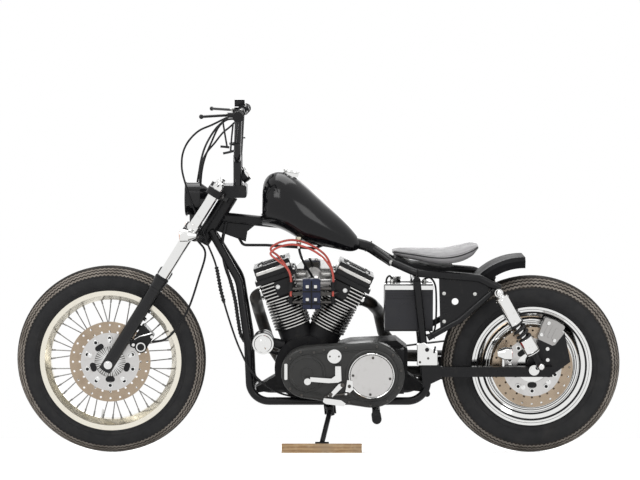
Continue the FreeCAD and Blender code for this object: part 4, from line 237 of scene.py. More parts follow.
def dress(name, *finishes, pick=None):
    """Puts finishes on a CAD node. pick works out each face's finish from the middles and normals of all its faces,
    upright."""
    mesh = nodes[name].data
    mesh.materials.clear()
    for finish in finishes:
        mesh.materials.append(finish.material)
    if pick is None:
        return
    count = len(mesh.polygons)
    middles, normals = np.empty(count * 3), np.empty(count * 3)
    mesh.polygons.foreach_get("center", middles)
    mesh.polygons.foreach_get("normal", normals)
    middles = upright(middles.reshape(-1, 3))
    normals = upright(normals.reshape(-1, 3) * 0.001 + STANDS_AT)
    mesh.polygons.foreach_set("material_index", np.asarray(pick(middles, normals), np.int32))
    mesh.update()


timber = Finish("sawn_timber_side", (0.46, 0.31, 0.17), 0.68, specular=0.25)
grain_bands = timber.texture("Wave", {"Scale": (0.16, 1.0, 1.0)},
                             Scale=26.0, Distortion=7.0, Detail=4.0, Detail_Scale=1.6)
grain_bands.bands_direction = "Z"
timber.tinted(timber.between(grain_bands.outputs["Fac"], 0.0, 0.8, 0.2, 0.9), (0.27, 0.16, 0.08))
timber.stained(9, (0.33, 0.25, 0.17), 0.8, 0.4, 0.75).stained(60, (0.58, 0.45, 0.30), 0.5, 0.5, 0.8)
timber.raised(grain_bands.outputs["Fac"], 0.3, 0.0008).grained(300, 0.4, 0.0005, stretch=(0.1, 1, 1))
timber.worn(40, 0.6, 0.82)
timber_end = Finish("sawn_timber_end", (0.40, 0.26, 0.14), 0.8, specular=0.2)
rings = timber_end.texture("Wave", {"Location": (0.0, 0.1, 0.06)}, Scale=34.0, Distortion=2.0, Detail=3.0)
rings.wave_type = "RINGS"
rings.rings_direction = "X"
timber_end.tinted(timber_end.between(rings.outputs["Fac"], 0.0, 0.9, 0.3, 0.9), (0.22, 0.13, 0.07))
timber_end.stained(40, (0.5, 0.4, 0.27), 0.4).grained(500, 0.5, 0.0005)
dress("timber_block", timber, timber_end, pick=lambda m, n: np.abs(n[:, 0]) > 0.9)


# ---- Frame of steel tube
# Drawn steel tubes coped and brazed into a cradle, sprayed black after
# welding. The beads show at the joints, and dust lies in the corners.
def unit(direction):
    """A direction over its own length."""
    direction = np.asarray(direction, float)
    return direction / np.linalg.norm(direction)


def crosswise(axis):
    """The unit axis and two unit directions at right angles to it and to each other; side x other is the axis."""
    axis = unit(axis)
    guide = (0.0, 1.0, 0.0) if abs(axis[1]) < 0.9 else (0.0, 0.0, 1.0)
    side = unit(np.cross(guide, axis))
    return axis, side, np.cross(axis, side)


def shell(rows, low=None, high=None, loop=False):
    """A closed shell through a grid of rows, each once round. Its ends close in fans on the points low and high, or
    on the middle of the end row; with loop the last row joins the first. The sign of the volume, the sum of a . (b x
    c) over the corners of the faces, says whether the faces look outwards, and turns them if not."""
    count, around = rows.shape[:2]
    points = rows.reshape(-1, 3)
    k = np.arange(around)
    n = (k + 1) % around
    i = np.arange(count if loop else count - 1)[:, None]
    j = (i + 1) % count
    quads = np.stack((i * around + k, i * around + n, j * around + n, j * around + k), -1).reshape(-1, 4)
    fans = np.zeros((0, 3), int)
    if not loop:
        points = np.vstack((points, rows[0].mean(0) if low is None else low,
                            rows[-1].mean(0) if high is None else high))
        foot, last, top = count * around, (count - 1) * around, count * around + 1
        fans = np.vstack((np.stack((n, k, 0 * k + foot), -1), np.stack((last + k, last + n, 0 * k + top), -1)))
    corners = np.vstack((quads[:, (0, 1, 2)], quads[:, (0, 2, 3)], fans))
    a, b, c = (points[corners[:, m]] - points.mean(0) for m in range(3))
    if np.einsum("ij,ij->", a, np.cross(b, c)) < 0:
        quads, fans = quads[:, ::-1], fans[:, ::-1]
    return points, quads, fans


def turned(profile, foot, axis, around=32, hexed=(), loop=False, wobble=None):
    """A profile of (radius, height) points turned about an axis: foot + height axis + radius (cos t side + sin t
    other). A radius of 0 at an end is a pole. In the hexed rows the radius is times cos 30 / cos(t mod 60 - 30)
    degrees, a hexagon. wobble, of one number for each step round, is added to the radius."""
    axis, side, other = crosswise(axis)
    foot, profile = np.asarray(foot, float), np.asarray(profile, float)
    low = foot + profile[0, 1] * axis if profile[0, 0] == 0 else None
    high = foot + profile[-1, 1] * axis if profile[-1, 0] == 0 else None
    kept = profile[(1 if low is not None else 0):(-1 if high is not None else None)]
    t = np.arange(around) * 2 * np.pi / around
    radius = np.repeat(kept[:, :1], around, 1)
    if len(hexed):
        flats = math.cos(math.pi / 6) / np.cos(np.mod(t, math.pi / 3) - math.pi / 6)
        radius[list(hexed)] *= flats
    if wobble is not None:
        radius = radius + wobble
    out = np.cos(t)[:, None] * side + np.sin(t)[:, None] * other
    return shell(foot + kept[:, 1, None, None] * axis + radius[..., None] * out, low, high, loop)


def leaned(points):
    """Upright millimetres as row frame metres: turned by 12 degrees about X, (x, y cos - z sin, y sin + z cos), and
    shifted to where the machine stands."""
    p = np.asarray(points, float) * 0.001
    c, s = math.cos(LEAN), math.sin(LEAN)
    p = np.stack((p[..., 0], p[..., 1] * c - p[..., 2] * s, p[..., 1] * s + p[..., 2] * c), -1) + STANDS_AT
    return p.tolist()


def make(name, body, *parts, soft=40.0):
    """One piece of several finishes: each part is a finish and its shells, whose points are leaned and joined in one
    mesh. Edges sharper than soft degrees stay sharp."""
    points, quads, fans, finish_of = [], [], [], ([], [])
    start = 0
    for index, (_, shells) in enumerate(parts):
        for corners, four, three in shells:
            points.append(corners)
            quads.append(four + start)
            fans.append(three + start)
            finish_of[0].append(np.full(len(four), index))
            finish_of[1].append(np.full(len(three), index))
            start += len(corners)
    mesh = bpy.data.meshes.new(name)
    mesh.from_pydata(leaned(np.vstack(points)), [], np.vstack(quads).tolist() + np.vstack(fans).tolist())
    for finish, _ in parts:
        mesh.materials.append(finish.material)
    faces = np.concatenate(finish_of[0] + finish_of[1])
    mesh.polygons.foreach_set("material_index", faces.astype(np.int32))
    mesh.polygons.foreach_set("use_smooth", np.ones(len(faces), bool))
    mesh.set_sharp_from_angle(angle=math.radians(soft))
    mesh.update()
    piece = bpy.data.objects.new(name, mesh)
    scene.collection.objects.link(piece)
    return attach(piece, body) if body else piece


def bead(foot, axis, radius, thick=3.2):
    """A weld bead: a ring of small round section whose radius swells and shrinks as sin(26 t)."""
    turn = np.arange(8) * np.pi / 4
    section = np.stack((radius + thick * np.cos(turn), thick * 0.8 * np.sin(turn)), -1)
    t = np.arange(104) * 2 * np.pi / 104
    return turned(section, foot, axis, 104, loop=True, wobble=0.35 * thick * np.sin(26 * t))


def hex_head(foot, axis, radius, height):
    """A hexagon screw head, chamfered and slightly domed, on its washer: a turned profile whose middle rows are
    hexed."""
    rim = radius * 1.25
    return turned([(0, 0), (rim, 0), (rim, 1.4), (radius, 1.4), (radius, height * 0.86), (radius * 0.84, height),
                   (0, height * 1.06)], foot, axis, 24, hexed=(2, 3, 4))


frame_paint = Finish("frame_black_paint", (0.007, 0.007, 0.008), 0.28, coat=0.06, specular=0.22)
frame_paint.worn(14, 0.2, 0.42).grained(420, 0.12, 0.0002).stained(60, (0.03, 0.027, 0.024), 0.6, 0.58, 0.85)
zinc = Finish("zinc_plated_steel", (0.60, 0.60, 0.58), 0.3, 1.0)
zinc.worn(60, 0.22, 0.44).grained(500, 0.2, 0.0002).stained(80, (0.36, 0.31, 0.25), 0.7, 0.6, 0.85)
LEFT, SIDES = (0, -1, 0), (-1, 1)
for tube_node in ("frame_cradle", "frame_backbone", "frame_seat_rails", "swingarm", "side_plate"):
    dress(tube_node, frame_paint)
frame_beads = [
    bead((-345, 0, 862), (-0.99, 0, 0.10), 19.5), bead((175, 0, 757), (0.83, 0, -0.55), 19.5, 2.6),
    *(bead((x, w * 115, z), way, 14.5, 2.6) for x, z, way in (
        (345, 674, (0.98, 0, -0.18)), (400, 452, (0.80, 0, 0.58)), (612, 607, (0.80, 0, 0.58)))
      for w in SIDES)]
PLATE_FACE = -122.2
frame_bolts = [hex_head((x, PLATE_FACE, z), LEFT, 5.2, 4.4) for x, z in ((442, 602), (443, 501), (552, 600))]
frame_joints = make("frame_weld_beads", "frame", (frame_paint, frame_beads))
tube_bolts = make("side_plate_bolts", "frame", (zinc, frame_bolts))


# ---- Spiral wrap and ties round the wiring on the front tube
# The loom leaves the tank and runs down the front tube inside a spiral of
# black plastic strip, held with nylon ties drawn tight by hand.
RIGHT = (0, 1, 0)


def about(path, up, loop=False):
    """The side and the crown at each point of a path: side is the tangent x up made unit, crown is side x tangent,
    and the tangent is the difference of the neighbouring points."""
    ahead = np.roll(path, -1, 0) - np.roll(path, 1, 0) if loop else np.gradient(path, axis=0)
    ahead = ahead / np.linalg.norm(ahead, axis=1)[:, None]
    side = np.cross(ahead, np.asarray(up, float))
    side = side / np.linalg.norm(side, axis=1)[:, None]
    return side, np.cross(side, ahead)


def carried(path, section, up=RIGHT, loop=False, size=1.0):
    """A flat section of (across, above) points carried along a path: path + size (across side + above crown)."""
    path, section = np.asarray(path, float), np.asarray(section, float)
    side, crown = about(path, up, loop)
    size = np.broadcast_to(np.asarray(size, float), (len(path),))[:, None, None]
    rows = path[:, None] + size * (section[None, :, :1] * side[:, None] + section[None, :, 1:] * crown[:, None])
    return shell(rows, None if loop else path[0], None if loop else path[-1], loop)


def tube(path, radius, around=12, up=RIGHT, size=1.0):
    """A circle of around points, radius (cos t, sin t), carried along a path."""
    t = np.arange(around) * 2 * np.pi / around
    return carried(path, radius * np.stack((np.cos(t), np.sin(t)), -1), up, size=size)


def eased(points, steps=8):
    """A smooth line through points: between the middle two of four in a row, the cubic whose slopes there are half the
    difference of their neighbours."""
    p = np.array(points, float)
    p = np.vstack((2 * p[0] - p[1], p, 2 * p[-1] - p[-2]))
    t = (np.arange(steps) / steps)[None, :, None]
    a, b, c, d = (p[m:len(p) - 3 + m, None] for m in range(4))
    line = 0.5 * (2 * b + (c - a) * t + (2 * a - 5 * b + 4 * c - d) * t ** 2 + (3 * b - a - 3 * c + d) * t ** 3)
    return np.vstack((line.reshape(-1, 3), p[-2]))


def ring_of(profile, foot, axis, around=32):
    """A closed profile turned about an axis."""
    return turned(profile, foot, axis, around, loop=True)


def tie(foot, axis, radius, width=2.6, thick=1.0):
    """A nylon tie: a flat strap turned round the axis, and the small block of its lock."""
    strap = ring_of([(radius, -width / 2), (radius + thick, -width / 2), (radius + thick, width / 2),
                     (radius, width / 2)], foot, axis, 28)
    axis, side, other = crosswise(axis)
    out = side if side[1] < -0.3 else (-side if side[1] > 0.3 else (other if other[1] < 0 else -other))
    lock = np.asarray(foot, float) + out * (radius + thick)
    return [strap, turned([(0, -1.8), (2.6, -1.8), (3.0, 0), (2.6, 1.8), (0, 1.8)], lock, out, 16)]


def run_of(line):
    """The length of a line up to each of its points."""
    return np.concatenate(((0.0,), np.cumsum(np.linalg.norm(np.diff(line, axis=0), axis=1))))


def read_at(line, run, lengths):
    """The points of a line at given lengths along it, straight between its own points."""
    return np.stack([np.interp(lengths, run, line[:, m]) for m in range(3)], -1)


def wound(path, radius, turns, wire):
    """A strip wound round a curved line: the line read at even steps of its length, plus radius (cos t side + sin t
    crown), where t runs to 2 pi turns."""
    run = run_of(path)
    share = np.linspace(0, 1, int(turns * 14) + 1)
    line = read_at(path, run, share * run[-1])
    side, crown = about(line, RIGHT)
    t = (2 * np.pi * turns * share)[:, None]
    middle = line + radius * (np.cos(t) * side + np.sin(t) * crown)
    return tube(middle, wire, 6, unit(path[-1] - path[0]))


soft_plastic = Finish("black_nylon", (0.014, 0.014, 0.015), 0.46, specular=0.2)
soft_plastic.worn(22, 0.38, 0.56).grained(1300, 0.3, 0.0002)
loom_line = eased([(-338, -8, 846), (-352, -30, 770), (-342, -58, 700), (-322, -70, 640), (-304, -84, 570),
                   (-293, -97, 500), (-279, -104, 440), (-238, -92, 400), (-150, -45, 372)])
loom = tube(loom_line, 6.0, 14)
wrap = wound(loom_line[24:49], 6.6, 17, 1.5)
loom_ties = [part for at in (20, 50) for part in tie(loom_line[at], loom_line[at + 1] - loom_line[at - 1], 6.2)]
front_loom = make("front_loom", "frame", (soft_plastic, [loom, wrap] + loom_ties))
dress("wiring_loom", soft_plastic)


# ---- Engine cases
# A cast aluminium crankcase, gearbox and primary case, painted wrinkle black
# and baked. The clutch lid and the cam cover are polished, held by socket screws.
engine_black = Finish("wrinkle_black_paint", (0.010, 0.010, 0.011), 0.5, specular=0.2)
engine_black.worn(20, 0.4, 0.62).grained(1500, 0.55, 0.0004, detail=8)
engine_black.stained(35, (0.035, 0.033, 0.030), 0.7, 0.55, 0.85)
case_black = Finish("satin_black_paint", (0.009, 0.009, 0.010), 0.32, coat=0.05, specular=0.22)
case_black.worn(18, 0.26, 0.46).grained(700, 0.15, 0.0002).stained(28, (0.03, 0.028, 0.026), 0.6, 0.55, 0.85)
lid_alloy = Finish("satin_alloy", (0.64, 0.63, 0.62), 0.36, 1.0)
lid_alloy.worn(30, 0.3, 0.44).grained(1200, 0.12, 0.0001).stained(40, (0.46, 0.44, 0.41), 0.5, 0.55, 0.85)
bright = Finish("chrome_plate", (0.80, 0.80, 0.79), 0.06, 1.0)
bright.worn(9, 0.03, 0.12).grained(160, 0.03, 0.0001).stained(50, (0.52, 0.49, 0.44), 0.5, 0.6, 0.88)
dark_steel = Finish("blackened_steel", (0.10, 0.095, 0.09), 0.4, 0.9)
dark_steel.worn(50, 0.3, 0.55).grained(500, 0.2, 0.0002).stained(70, (0.17, 0.12, 0.08), 0.7, 0.58, 0.8)
dress("crankcase", engine_black)
cover_black = Finish("cast_cover_black", (0.036, 0.036, 0.035), 0.34, coat=0.05, specular=0.25)
cover_black.worn(18, 0.28, 0.46).grained(700, 0.15, 0.0002).stained(28, (0.05, 0.049, 0.046), 0.6, 0.55, 0.85)
dress("primary_cover", cover_black)
dress("gearcase_cover", lid_alloy)
UP, AFT = (0, 0, 1), (1, 0, 0)
CLUTCH, SHAFT, PORT_HOLE = (183.0, 316.0), (-46.0, 324.0), (51.0, 386.0)
PRIMARY_FACE, LID_FACE, LINK_FACE, PIVOT_FACE = -184.0, -190.6, -191.0, -137.0


def circle_of(middle, radius, y, angles):
    """Places on a circle across the bike: x and z of middle + radius (cos a, sin a), at y, for each angle a."""
    return [(middle[0] + radius * math.cos(a), y, middle[-1] + radius * math.sin(a)) for a in angles]


def cap_head(foot, axis, radius, height):
    """A round cap screw with a hexagon socket sunk to half its height."""
    socket = radius * 0.56
    return turned([(0, 0), (radius, 0), (radius, height * 0.84), (radius * 0.88, height), (socket * 1.12, height),
                   (socket, height * 0.94), (socket, height * 0.45), (0, height * 0.4)], foot, axis, 24, hexed=(4, 5))


def away_from(m, middle):
    """How far each face is from the line across the bike through a middle: the root of (x - a)^2 + (z - b)^2."""
    return np.hypot(m[:, 0] - middle[0], m[:, 2] - middle[-1])


dress("side_covers", lid_alloy, bright,
      pick=lambda m, n: (away_from(m, CLUTCH) > 76) | (np.abs(m[:, 0] - PORT_HOLE[0]) < 27))
FIVE_ROUND = np.radians((30, 102, 174, 246, 318))
case_places = circle_of(SHAFT, 80, PRIMARY_FACE, np.radians((72, 106, 138, 222, 256)))
case_places += circle_of(CLUTCH, 106, PRIMARY_FACE, np.radians((-92, -58, -24, 10, 44, 80)))
case_places += [(x, PRIMARY_FACE, z) for x, z in ((14, 408), (92, 417), (20, 240), (104, 222))]
primary_screws = [cap_head(at, LEFT, 4.4, 4.5) for at in case_places]
lid_screws = [cap_head(at, LEFT, 4.6, 3.6) for at in circle_of(CLUTCH, 66, -196, np.radians((86, 178, -8, -94)))]
lid_screws += [cap_head((PORT_HOLE[0] + d, -190, PORT_HOLE[1]), LEFT, 3.2, 2.8) for d in (-16, 16)]
shaft_at, clutch_at = (SHAFT[0], PRIMARY_FACE, SHAFT[1]), (CLUTCH[0], PRIMARY_FACE, CLUTCH[1])
shaft_dome = turned([(0, 0), (65, 0), (66, 1.5), (65, 3.0), (50, 5.2), (24, 6.6), (0, 7.0)], shaft_at, LEFT, 64)
lid_step = ring_of([(84, -0.5), (84, 3.6), (87, 4.6), (93, 2.4), (95, -0.5)], clutch_at, LEFT, 72)
dome_steps = [ring_of([(r, h - 1), (r, h + 0.8), (r + 1.6, h + 1.8), (r + 4, h - 1)], shaft_at, LEFT, 64)
              for r, h in ((55, 4.6), (20, 6.6))]
lid_ring = ring_of([(78, 0), (81, 0.6), (82, 2.4), (81, 4.0), (79, 4.6), (77.5, 3.6)],
                   (CLUTCH[0], LID_FACE, CLUTCH[1]), LEFT, 72)


def plate_of(outline, low, high, foot=(0, 0, 0), across=AFT, up=UP, soften=0.8):
    """A flat plate: an outline of (across, up) points, drawn in towards its middle by soften at both faces, and given
    depth from low to high along across x up. A point is foot + a across + b up + depth (across x up)."""
    across, up, outline = unit(across), unit(up), np.asarray(outline, float)
    through, middle = np.cross(across, up), outline.mean(0)
    away = outline - middle
    drawn = middle + away * (1 - soften / np.linalg.norm(away, axis=1))[:, None]
    rows = [np.asarray(foot, float) + line[:, :1] * across + line[:, 1:] * up + depth * through
            for line, depth in ((drawn, low), (outline, low + soften), (outline, high - soften), (drawn, high))]
    return shell(np.stack(rows))


def oblong(half_a, half_b, corner, steps=4):
    """A rectangle with round corners: four quarter circles of steps points, each about its own corner's centre."""
    t = np.linspace(0, np.pi / 2, steps)[None] + np.arange(4)[:, None] * np.pi / 2
    a = np.array((1, -1, -1, 1))[:, None] * (half_a - corner) + corner * np.cos(t)
    b = np.array((1, 1, -1, -1))[:, None] * (half_b - corner) + corner * np.sin(t)
    return np.stack((a.ravel(), b.ravel()), -1)


def round_both(inset, steps=40):
    """The line round two circles, drawn in by inset: the tangents touch at the angle whose cosine is (r1 - r2) /
    distance from the line of the centres, so each circle gives the arc between its two touching points."""
    (x1, z1, r1), (x2, z2, r2) = (*SHAFT, 92.0), (*CLUTCH, 118.0)
    way, touch = math.atan2(z2 - z1, x2 - x1), math.acos((r1 - r2) / math.hypot(x2 - x1, z2 - z1))
    late = way + np.linspace(-touch, touch, steps)
    early = way + np.linspace(touch, 2 * np.pi - touch, steps)
    x = np.concatenate((x2 + (r2 - inset) * np.cos(late), x1 + (r1 - inset) * np.cos(early)))
    z = np.concatenate((z2 + (r2 - inset) * np.sin(late), z1 + (r1 - inset) * np.sin(early)))
    return np.stack((x, np.full(len(x), PRIMARY_FACE), z), -1)


ridge = np.array(((-2.6, -0.6), (-1.4, 1.3), (1.4, 1.3), (2.6, -0.6)))
primary_ridges = [carried(round_both(inset), ridge, up=LEFT, loop=True) for inset in (21, 27)]
bare_plate = plate_of(oblong(5.5, 29, 2.5), 0, 2.6, (-121, PRIMARY_FACE - 0.2, 330))
blade = plate_of([(28, 244), (44, 240), (86, 282), (80, 292), (66, 288)], 190, 195)
link_plate = plate_of([(10, 222), (22, 214), (84, 206), (92, 216), (76, 228), (14, 236)], 184.2, 188)
adjuster = tube([(24, LINK_FACE, 245), (66, LINK_FACE, 249), (108, LINK_FACE, 253)], 3.4)
adjuster_nuts = [turned([(0, -4), (6, -4), (6, 4), (0, 4)], (x, LINK_FACE, 245 + (x - 24) * 0.095), (1, 0, 0.095),
                        24, hexed=(0, 1)) for x in (44, 92)]
cover_hole = turned([(0, 0), (7.5, 0), (7.5, 0.8), (6.6, 1.2), (0, 1.2)], (382, PIVOT_FACE, 401), LEFT, 32)
cover_slot = plate_of(oblong(3.2, 13, 3), 136.6, 138.2, (409, 0, 401), (1, 0, -0.2), (0.2, 0, 1))
cover_screws = [cap_head((x, PIVOT_FACE, z), LEFT, 4.2, 3.4) for x, z in ((386, 370), (357, 356))]
joint_bolts = [hex_head((x, LINK_FACE - 3.5, z), LEFT, 6.2, 4.6) for x, z in ((38, 249), (80, 284))]
lever_clamp = turned([(0, 0), (11, 0), (11, 14), (9, 15), (0, 15)], (64, PRIMARY_FACE, 345), LEFT, 32)
clamp_bolt = cap_head((64, PRIMARY_FACE - 15, 345), LEFT, 4.6, 4)
cluster = plate_of([(90, 262), (106, 256), (118, 268), (116, 300), (96, 302)], 188, 197)
cluster_bolt = cap_head((104, -197, 280), LEFT, 6.0, 4)
primary_trim = make("primary_case_trim", "frame",
                    (bright, [lid_ring, bare_plate, clamp_bolt, blade, link_plate, cluster] + adjuster_nuts),
                    (cover_black, [shaft_dome, lever_clamp, lid_step] + dome_steps + primary_ridges),
                    (case_black, [cover_hole, cover_slot]),
                    (dark_steel, primary_screws + lid_screws + cover_screws + joint_bolts + [adjuster, cluster_bolt]))
cam_lid = turned([(0, 0), (50, 0), (52, 1.2), (52, 3.2), (49, 4.6), (36, 5.0), (33, 3.6), (12, 3.8), (0, 4.2)],
                 (-46, 96, 320), RIGHT, 64)
cam_screws = [cap_head(at, RIGHT, 3.6, 3.2) for at in circle_of((-46, 320), 43, 100.6, FIVE_ROUND)]
cam_trim = make("cam_cover_lid", "frame", (lid_alloy, [cam_lid]), (bright, cam_screws))
dress("oil_filter", case_black, bright, pick=lambda m, n: m[:, 1] < -109)
filter_ridges = [ring_of([(38.2, 0), (39.4, 0.8), (39.4, 2.2), (38.2, 3.0), (37.0, 1.5)], (-204, y, 418), LEFT, 48)
                 for y in (-44, -98)]
filter_cap = turned([(0, 0), (31, 0), (32, 1.5), (30, 4), (18, 6), (15, 9), (0, 10)], (-204, -112, 418), LEFT, 48,
                    hexed=(4,))
filter_trim = make("oil_filter_cap", "frame", (case_black, filter_ridges), (bright, [filter_cap]))


# ---- Cylinders, heads and rocker boxes
# Aluminium castings with ten fins to a barrel and six to a head, sprayed black;
# the fin edges and a band round each rocker box are then machined bright.
CRANK = np.array((-46.0, 0.0, 320.0))
BORES = ((unit((-0.3239, 0, 0.9461)), unit((0.9461, 0, 0.3239))),
         (unit((0.4478, 0, 0.8942)), unit((0.8942, 0, -0.4478))))
SEAM_TOP, LID_TOP = 357.0, 403.0
fin_edge = Finish("machined_fin_edge", (0.66, 0.65, 0.63), 0.28, 1.0)
fin_edge.worn(60, 0.18, 0.36).grained(700, 0.15, 0.0002).stained(60, (0.3, 0.28, 0.25), 0.6, 0.55, 0.8)


def by_bore(m, n):
    """For each face its height along the nearer cylinder's axis, its place across that axis, and how far it looks
    along it."""
    heights = np.stack([(m - CRANK) @ axis for axis, _ in BORES])
    offsets = np.stack([(m - CRANK) @ fore for _, fore in BORES])
    looks = np.stack([np.abs(n @ axis) for axis, _ in BORES])
    near = (np.abs(offsets[1]) < np.abs(offsets[0])).astype(int)
    each = np.arange(len(m))
    return heights[near, each], offsets[near, each], looks[near, each]


def barrel_edges(m, n):
    """Picks the fin edges of a barrel: over 66.6 mm from its axis, and not looking along it."""
    _, offset, looks = by_bore(m, n)
    return (np.hypot(offset, m[:, 1]) > 66.6) & (looks < 0.5)


def head_edges(m, n):
    """Picks the fin edges of a head: over 60.5 mm along the bike or 70.5 mm across it from the bore's axis."""
    _, offset, looks = by_bore(m, n)
    return ((np.abs(offset) > 60.5) | (np.abs(m[:, 1]) > 70.5)) & (looks < 0.5)


def from_bore(which, height, offset, y):
    """A point at a height along a cylinder, offset across it and y to the right."""
    axis, fore = BORES[which]
    return CRANK + height * axis + offset * fore + np.array((0.0, y, 0.0))


dress("cylinder_barrels", engine_black, fin_edge, pick=barrel_edges)
dress("cylinder_heads", engine_black, fin_edge, pick=head_edges)
dress("rocker_boxes", case_black)
dress("pushrod_tubes", bright)
rocker_screws = [cap_head(from_bore(w, SEAM_TOP, a, y), BORES[w][0], 3.9, 5.0)
                 for w in (0, 1) for a in (-71, 71) for y in (-60, 12, 86)]
rocker_bolts = [hex_head(from_bore(w, LID_TOP, a, y), BORES[w][0], 6.0, 5.0)
                for w in (0, 1) for a in (-38, 38) for y in (-42, 66)]
rocker_ribs = [plate_of(oblong(52, 2.2, 2.0), -0.6, 3.2, from_bore(w, LID_TOP, 0, y), BORES[w][1], RIGHT)
               for w in (0, 1) for y in (-12, 14, 40)]
rocker_bands = [plate_of(oblong(68.4, 77.4, 10), 375, 387, from_bore(w, 0, 0, 13), BORES[w][1], RIGHT) for w in (0, 1)]
plug_bosses = [plate_of(oblong(half, 27, 8), 72, 76.5, from_bore(w, 310, at, 0), BORES[w][1], BORES[w][0])
               for w, at, half in ((0, 22, 36), (1, -25, 34))]
plug_nuts = [hex_head(from_bore(w, height, offset, -76), LEFT, 6.2, 7)
             for w, height, offset in ((0, 317, -2.5), (1, 316.6, -6.5))]
rocker_trim = make("rocker_box_trim", "frame", (bright, rocker_screws + rocker_bolts + plug_nuts),
                   (case_black, rocker_ribs + plug_bosses), (fin_edge, rocker_bands))


# ---- Carburettor, air cleaner and exhaust
# A die-cast carburettor between the cylinders, a pressed and plated air
# cleaner, and two bent steel pipes in heatproof black with plated rings.
def limits(name):
    """The least and greatest upright places of a CAD node's corners, in millimetres."""
    mesh = nodes[name].data
    corners = np.empty(len(mesh.vertices) * 3)
    mesh.vertices.foreach_get("co", corners)
    corners = upright(corners.reshape(-1, 3))
    return corners.min(0), corners.max(0)


cast = Finish("die_cast_alloy", (0.42, 0.41, 0.40), 0.4, 1.0)
cast.worn(40, 0.3, 0.5).grained(900, 0.4, 0.0003, detail=6)
hot_plate = Finish("heatproof_black", (0.016, 0.015, 0.014), 0.4, specular=0.3)
hot_plate.worn(30, 0.3, 0.55).grained(700, 0.2, 0.0002).stained(24, (0.06, 0.042, 0.028), 0.7, 0.5, 0.8)
dress("carburettor", cast)
dress("air_cleaner", bright)
dress("exhaust_pipes", hot_plate)
air_low, air_high = limits("air_cleaner")
air_x, air_z = (air_low[0] + air_high[0]) / 2, (air_low[2] + air_high[2]) / 2
pressed_lid = turned([(0, 5.4), (20, 5.0), (24, 3.4), (56, 2.6), (60, 4.6), (64, 4.6), (67, 1.6), (74, 0.4),
                      (74, -1), (0, -1)][::-1], (air_x, air_high[1], air_z), RIGHT, 72)
lid_bolts = [hex_head(at, RIGHT, 5.0, 4.6)
             for at in circle_of((air_x, air_z), 40, air_high[1] + 2.8, np.radians((90, 210, 330)))]
air_trim = make("air_cleaner_lid", "frame", (bright, [pressed_lid] + lid_bolts))
pipe_clamps = []
for start, end in (((-194.1, 42.5, 586.0), (-238.1, 48.5, 571.0)), ((136.4, 42.5, 563.7), (184.4, 47.5, 543.7))):
    along = unit(np.subtract(end, start))
    pipe_clamps.append(ring_of([(22, -5), (25.5, -4.6), (26.2, 0), (25.5, 4.6), (22, 5)], np.add(start, 18 * along),
                               along, 40))
for end_at in ((499.0, 190.5, 262.1), (539.6, 189.5, 320.7)):
    pipe_clamps.append(ring_of([(21, -8), (23.4, -7.4), (23.8, -3), (23.4, 0), (21, 0.4)], end_at, (1, 0.02, 0), 40))
pipe_trim = make("exhaust_rings", "frame", (bright, pipe_clamps))


# ---- Ignition coil and leads
# A moulded blue twin coil between the cylinders on the left, its four white
# terminals and two rubber bands, and two red silicone leads over the engine.
coil_blue = Finish("moulded_blue_resin", (0.012, 0.016, 0.042), 0.35, coat=0.1, specular=0.3)
coil_blue.worn(30, 0.28, 0.5).grained(500, 0.1, 0.0002).stained(40, (0.018, 0.026, 0.07), 0.7)
lead_red = Finish("red_silicone", (0.56, 0.11, 0.085), 0.5, specular=0.3)
lead_red.worn(50, 0.42, 0.62).grained(700, 0.1, 0.0002).stained(70, (0.34, 0.05, 0.04), 0.7)
off_white = Finish("off_white_nylon", (0.72, 0.71, 0.68), 0.45)
off_white.worn(40, 0.38, 0.55).grained(700, 0.1, 0.0002)
soft_rubber = Finish("black_rubber", (0.012, 0.012, 0.013), 0.6, specular=0.2)
soft_rubber.worn(30, 0.5, 0.72).grained(900, 0.2, 0.0002).stained(24, (0.03, 0.029, 0.027), 0.6, 0.5, 0.85)
COIL_FACE = -136.1


def coil_finish(m, n):
    """0 the blue block, 1 the steel plate behind it, 2 the rubber towers."""
    block = (m[:, 0] > -62.5) & (m[:, 0] < 2.5) & (m[:, 2] > 545) & (m[:, 2] < 656) & (m[:, 1] < -96.4)
    tower = ~block & ((m[:, 0] < -90) | (m[:, 0] > 34)) & (m[:, 1] < -90)
    return np.where(block, 0, np.where(tower, 2, 1))


dress("ignition_coil", coil_blue, dark_steel, soft_rubber, pick=coil_finish)
lead_low, lead_high = limits("plug_leads")
lead_lines = []
for lift, y in ((0.0, lead_low[1] + 4.0), (14.0, lead_high[1] - 12.0)):
    lead_lines.append(eased([(-104, y, lead_low[2]), (-104, y, 656), (-118, y, 692), (-148, y, 718 + lift),
                             (-176, y, 744 + lift), (-148, y + 6, 766 + lift), (-100, y + 8, 776 + lift),
                             (-52, y + 8, 766 + lift), (-8, y + 6, 744 + lift), (26, y + 2, 712 + lift),
                             (46, y, 668), (46, y, lead_low[2])], 10))
red_leads = make("smooth_plug_leads", "frame", (lead_red, [tube(line, 3.9) for line in lead_lines]))
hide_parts("plug_leads")
terminals = [plate_of(oblong(5.5, 5.5, 1.6), 0, 3.2, (x, COIL_FACE, z))
             for x in (-45, -16) for z in (628, 582)]
bands = [plate_of(oblong(32.6, 2.4, 1.0), 0, 1.6, (-30, COIL_FACE, z)) for z in (610, 566)]
coil_stud = turned([(0, 0), (9, 0), (9.6, 1), (9.6, 4), (7, 7.5), (0, 9)], (-14, -116, 654.8), UP, 32)
sockets = [plate_of(oblong(5.5, 2.6, 1.2), 0, 2.4, (x, COIL_FACE, z)) for x in (-45, -16) for z in (619, 573)]
rib = plate_of(oblong(2.6, 50, 2), 0, 3.0, (-30.5, COIL_FACE, 600))
coil_trim = make("coil_terminals", "frame", (off_white, terminals), (soft_rubber, bands + sockets + [rib]),
                 (bright, [coil_stud]))


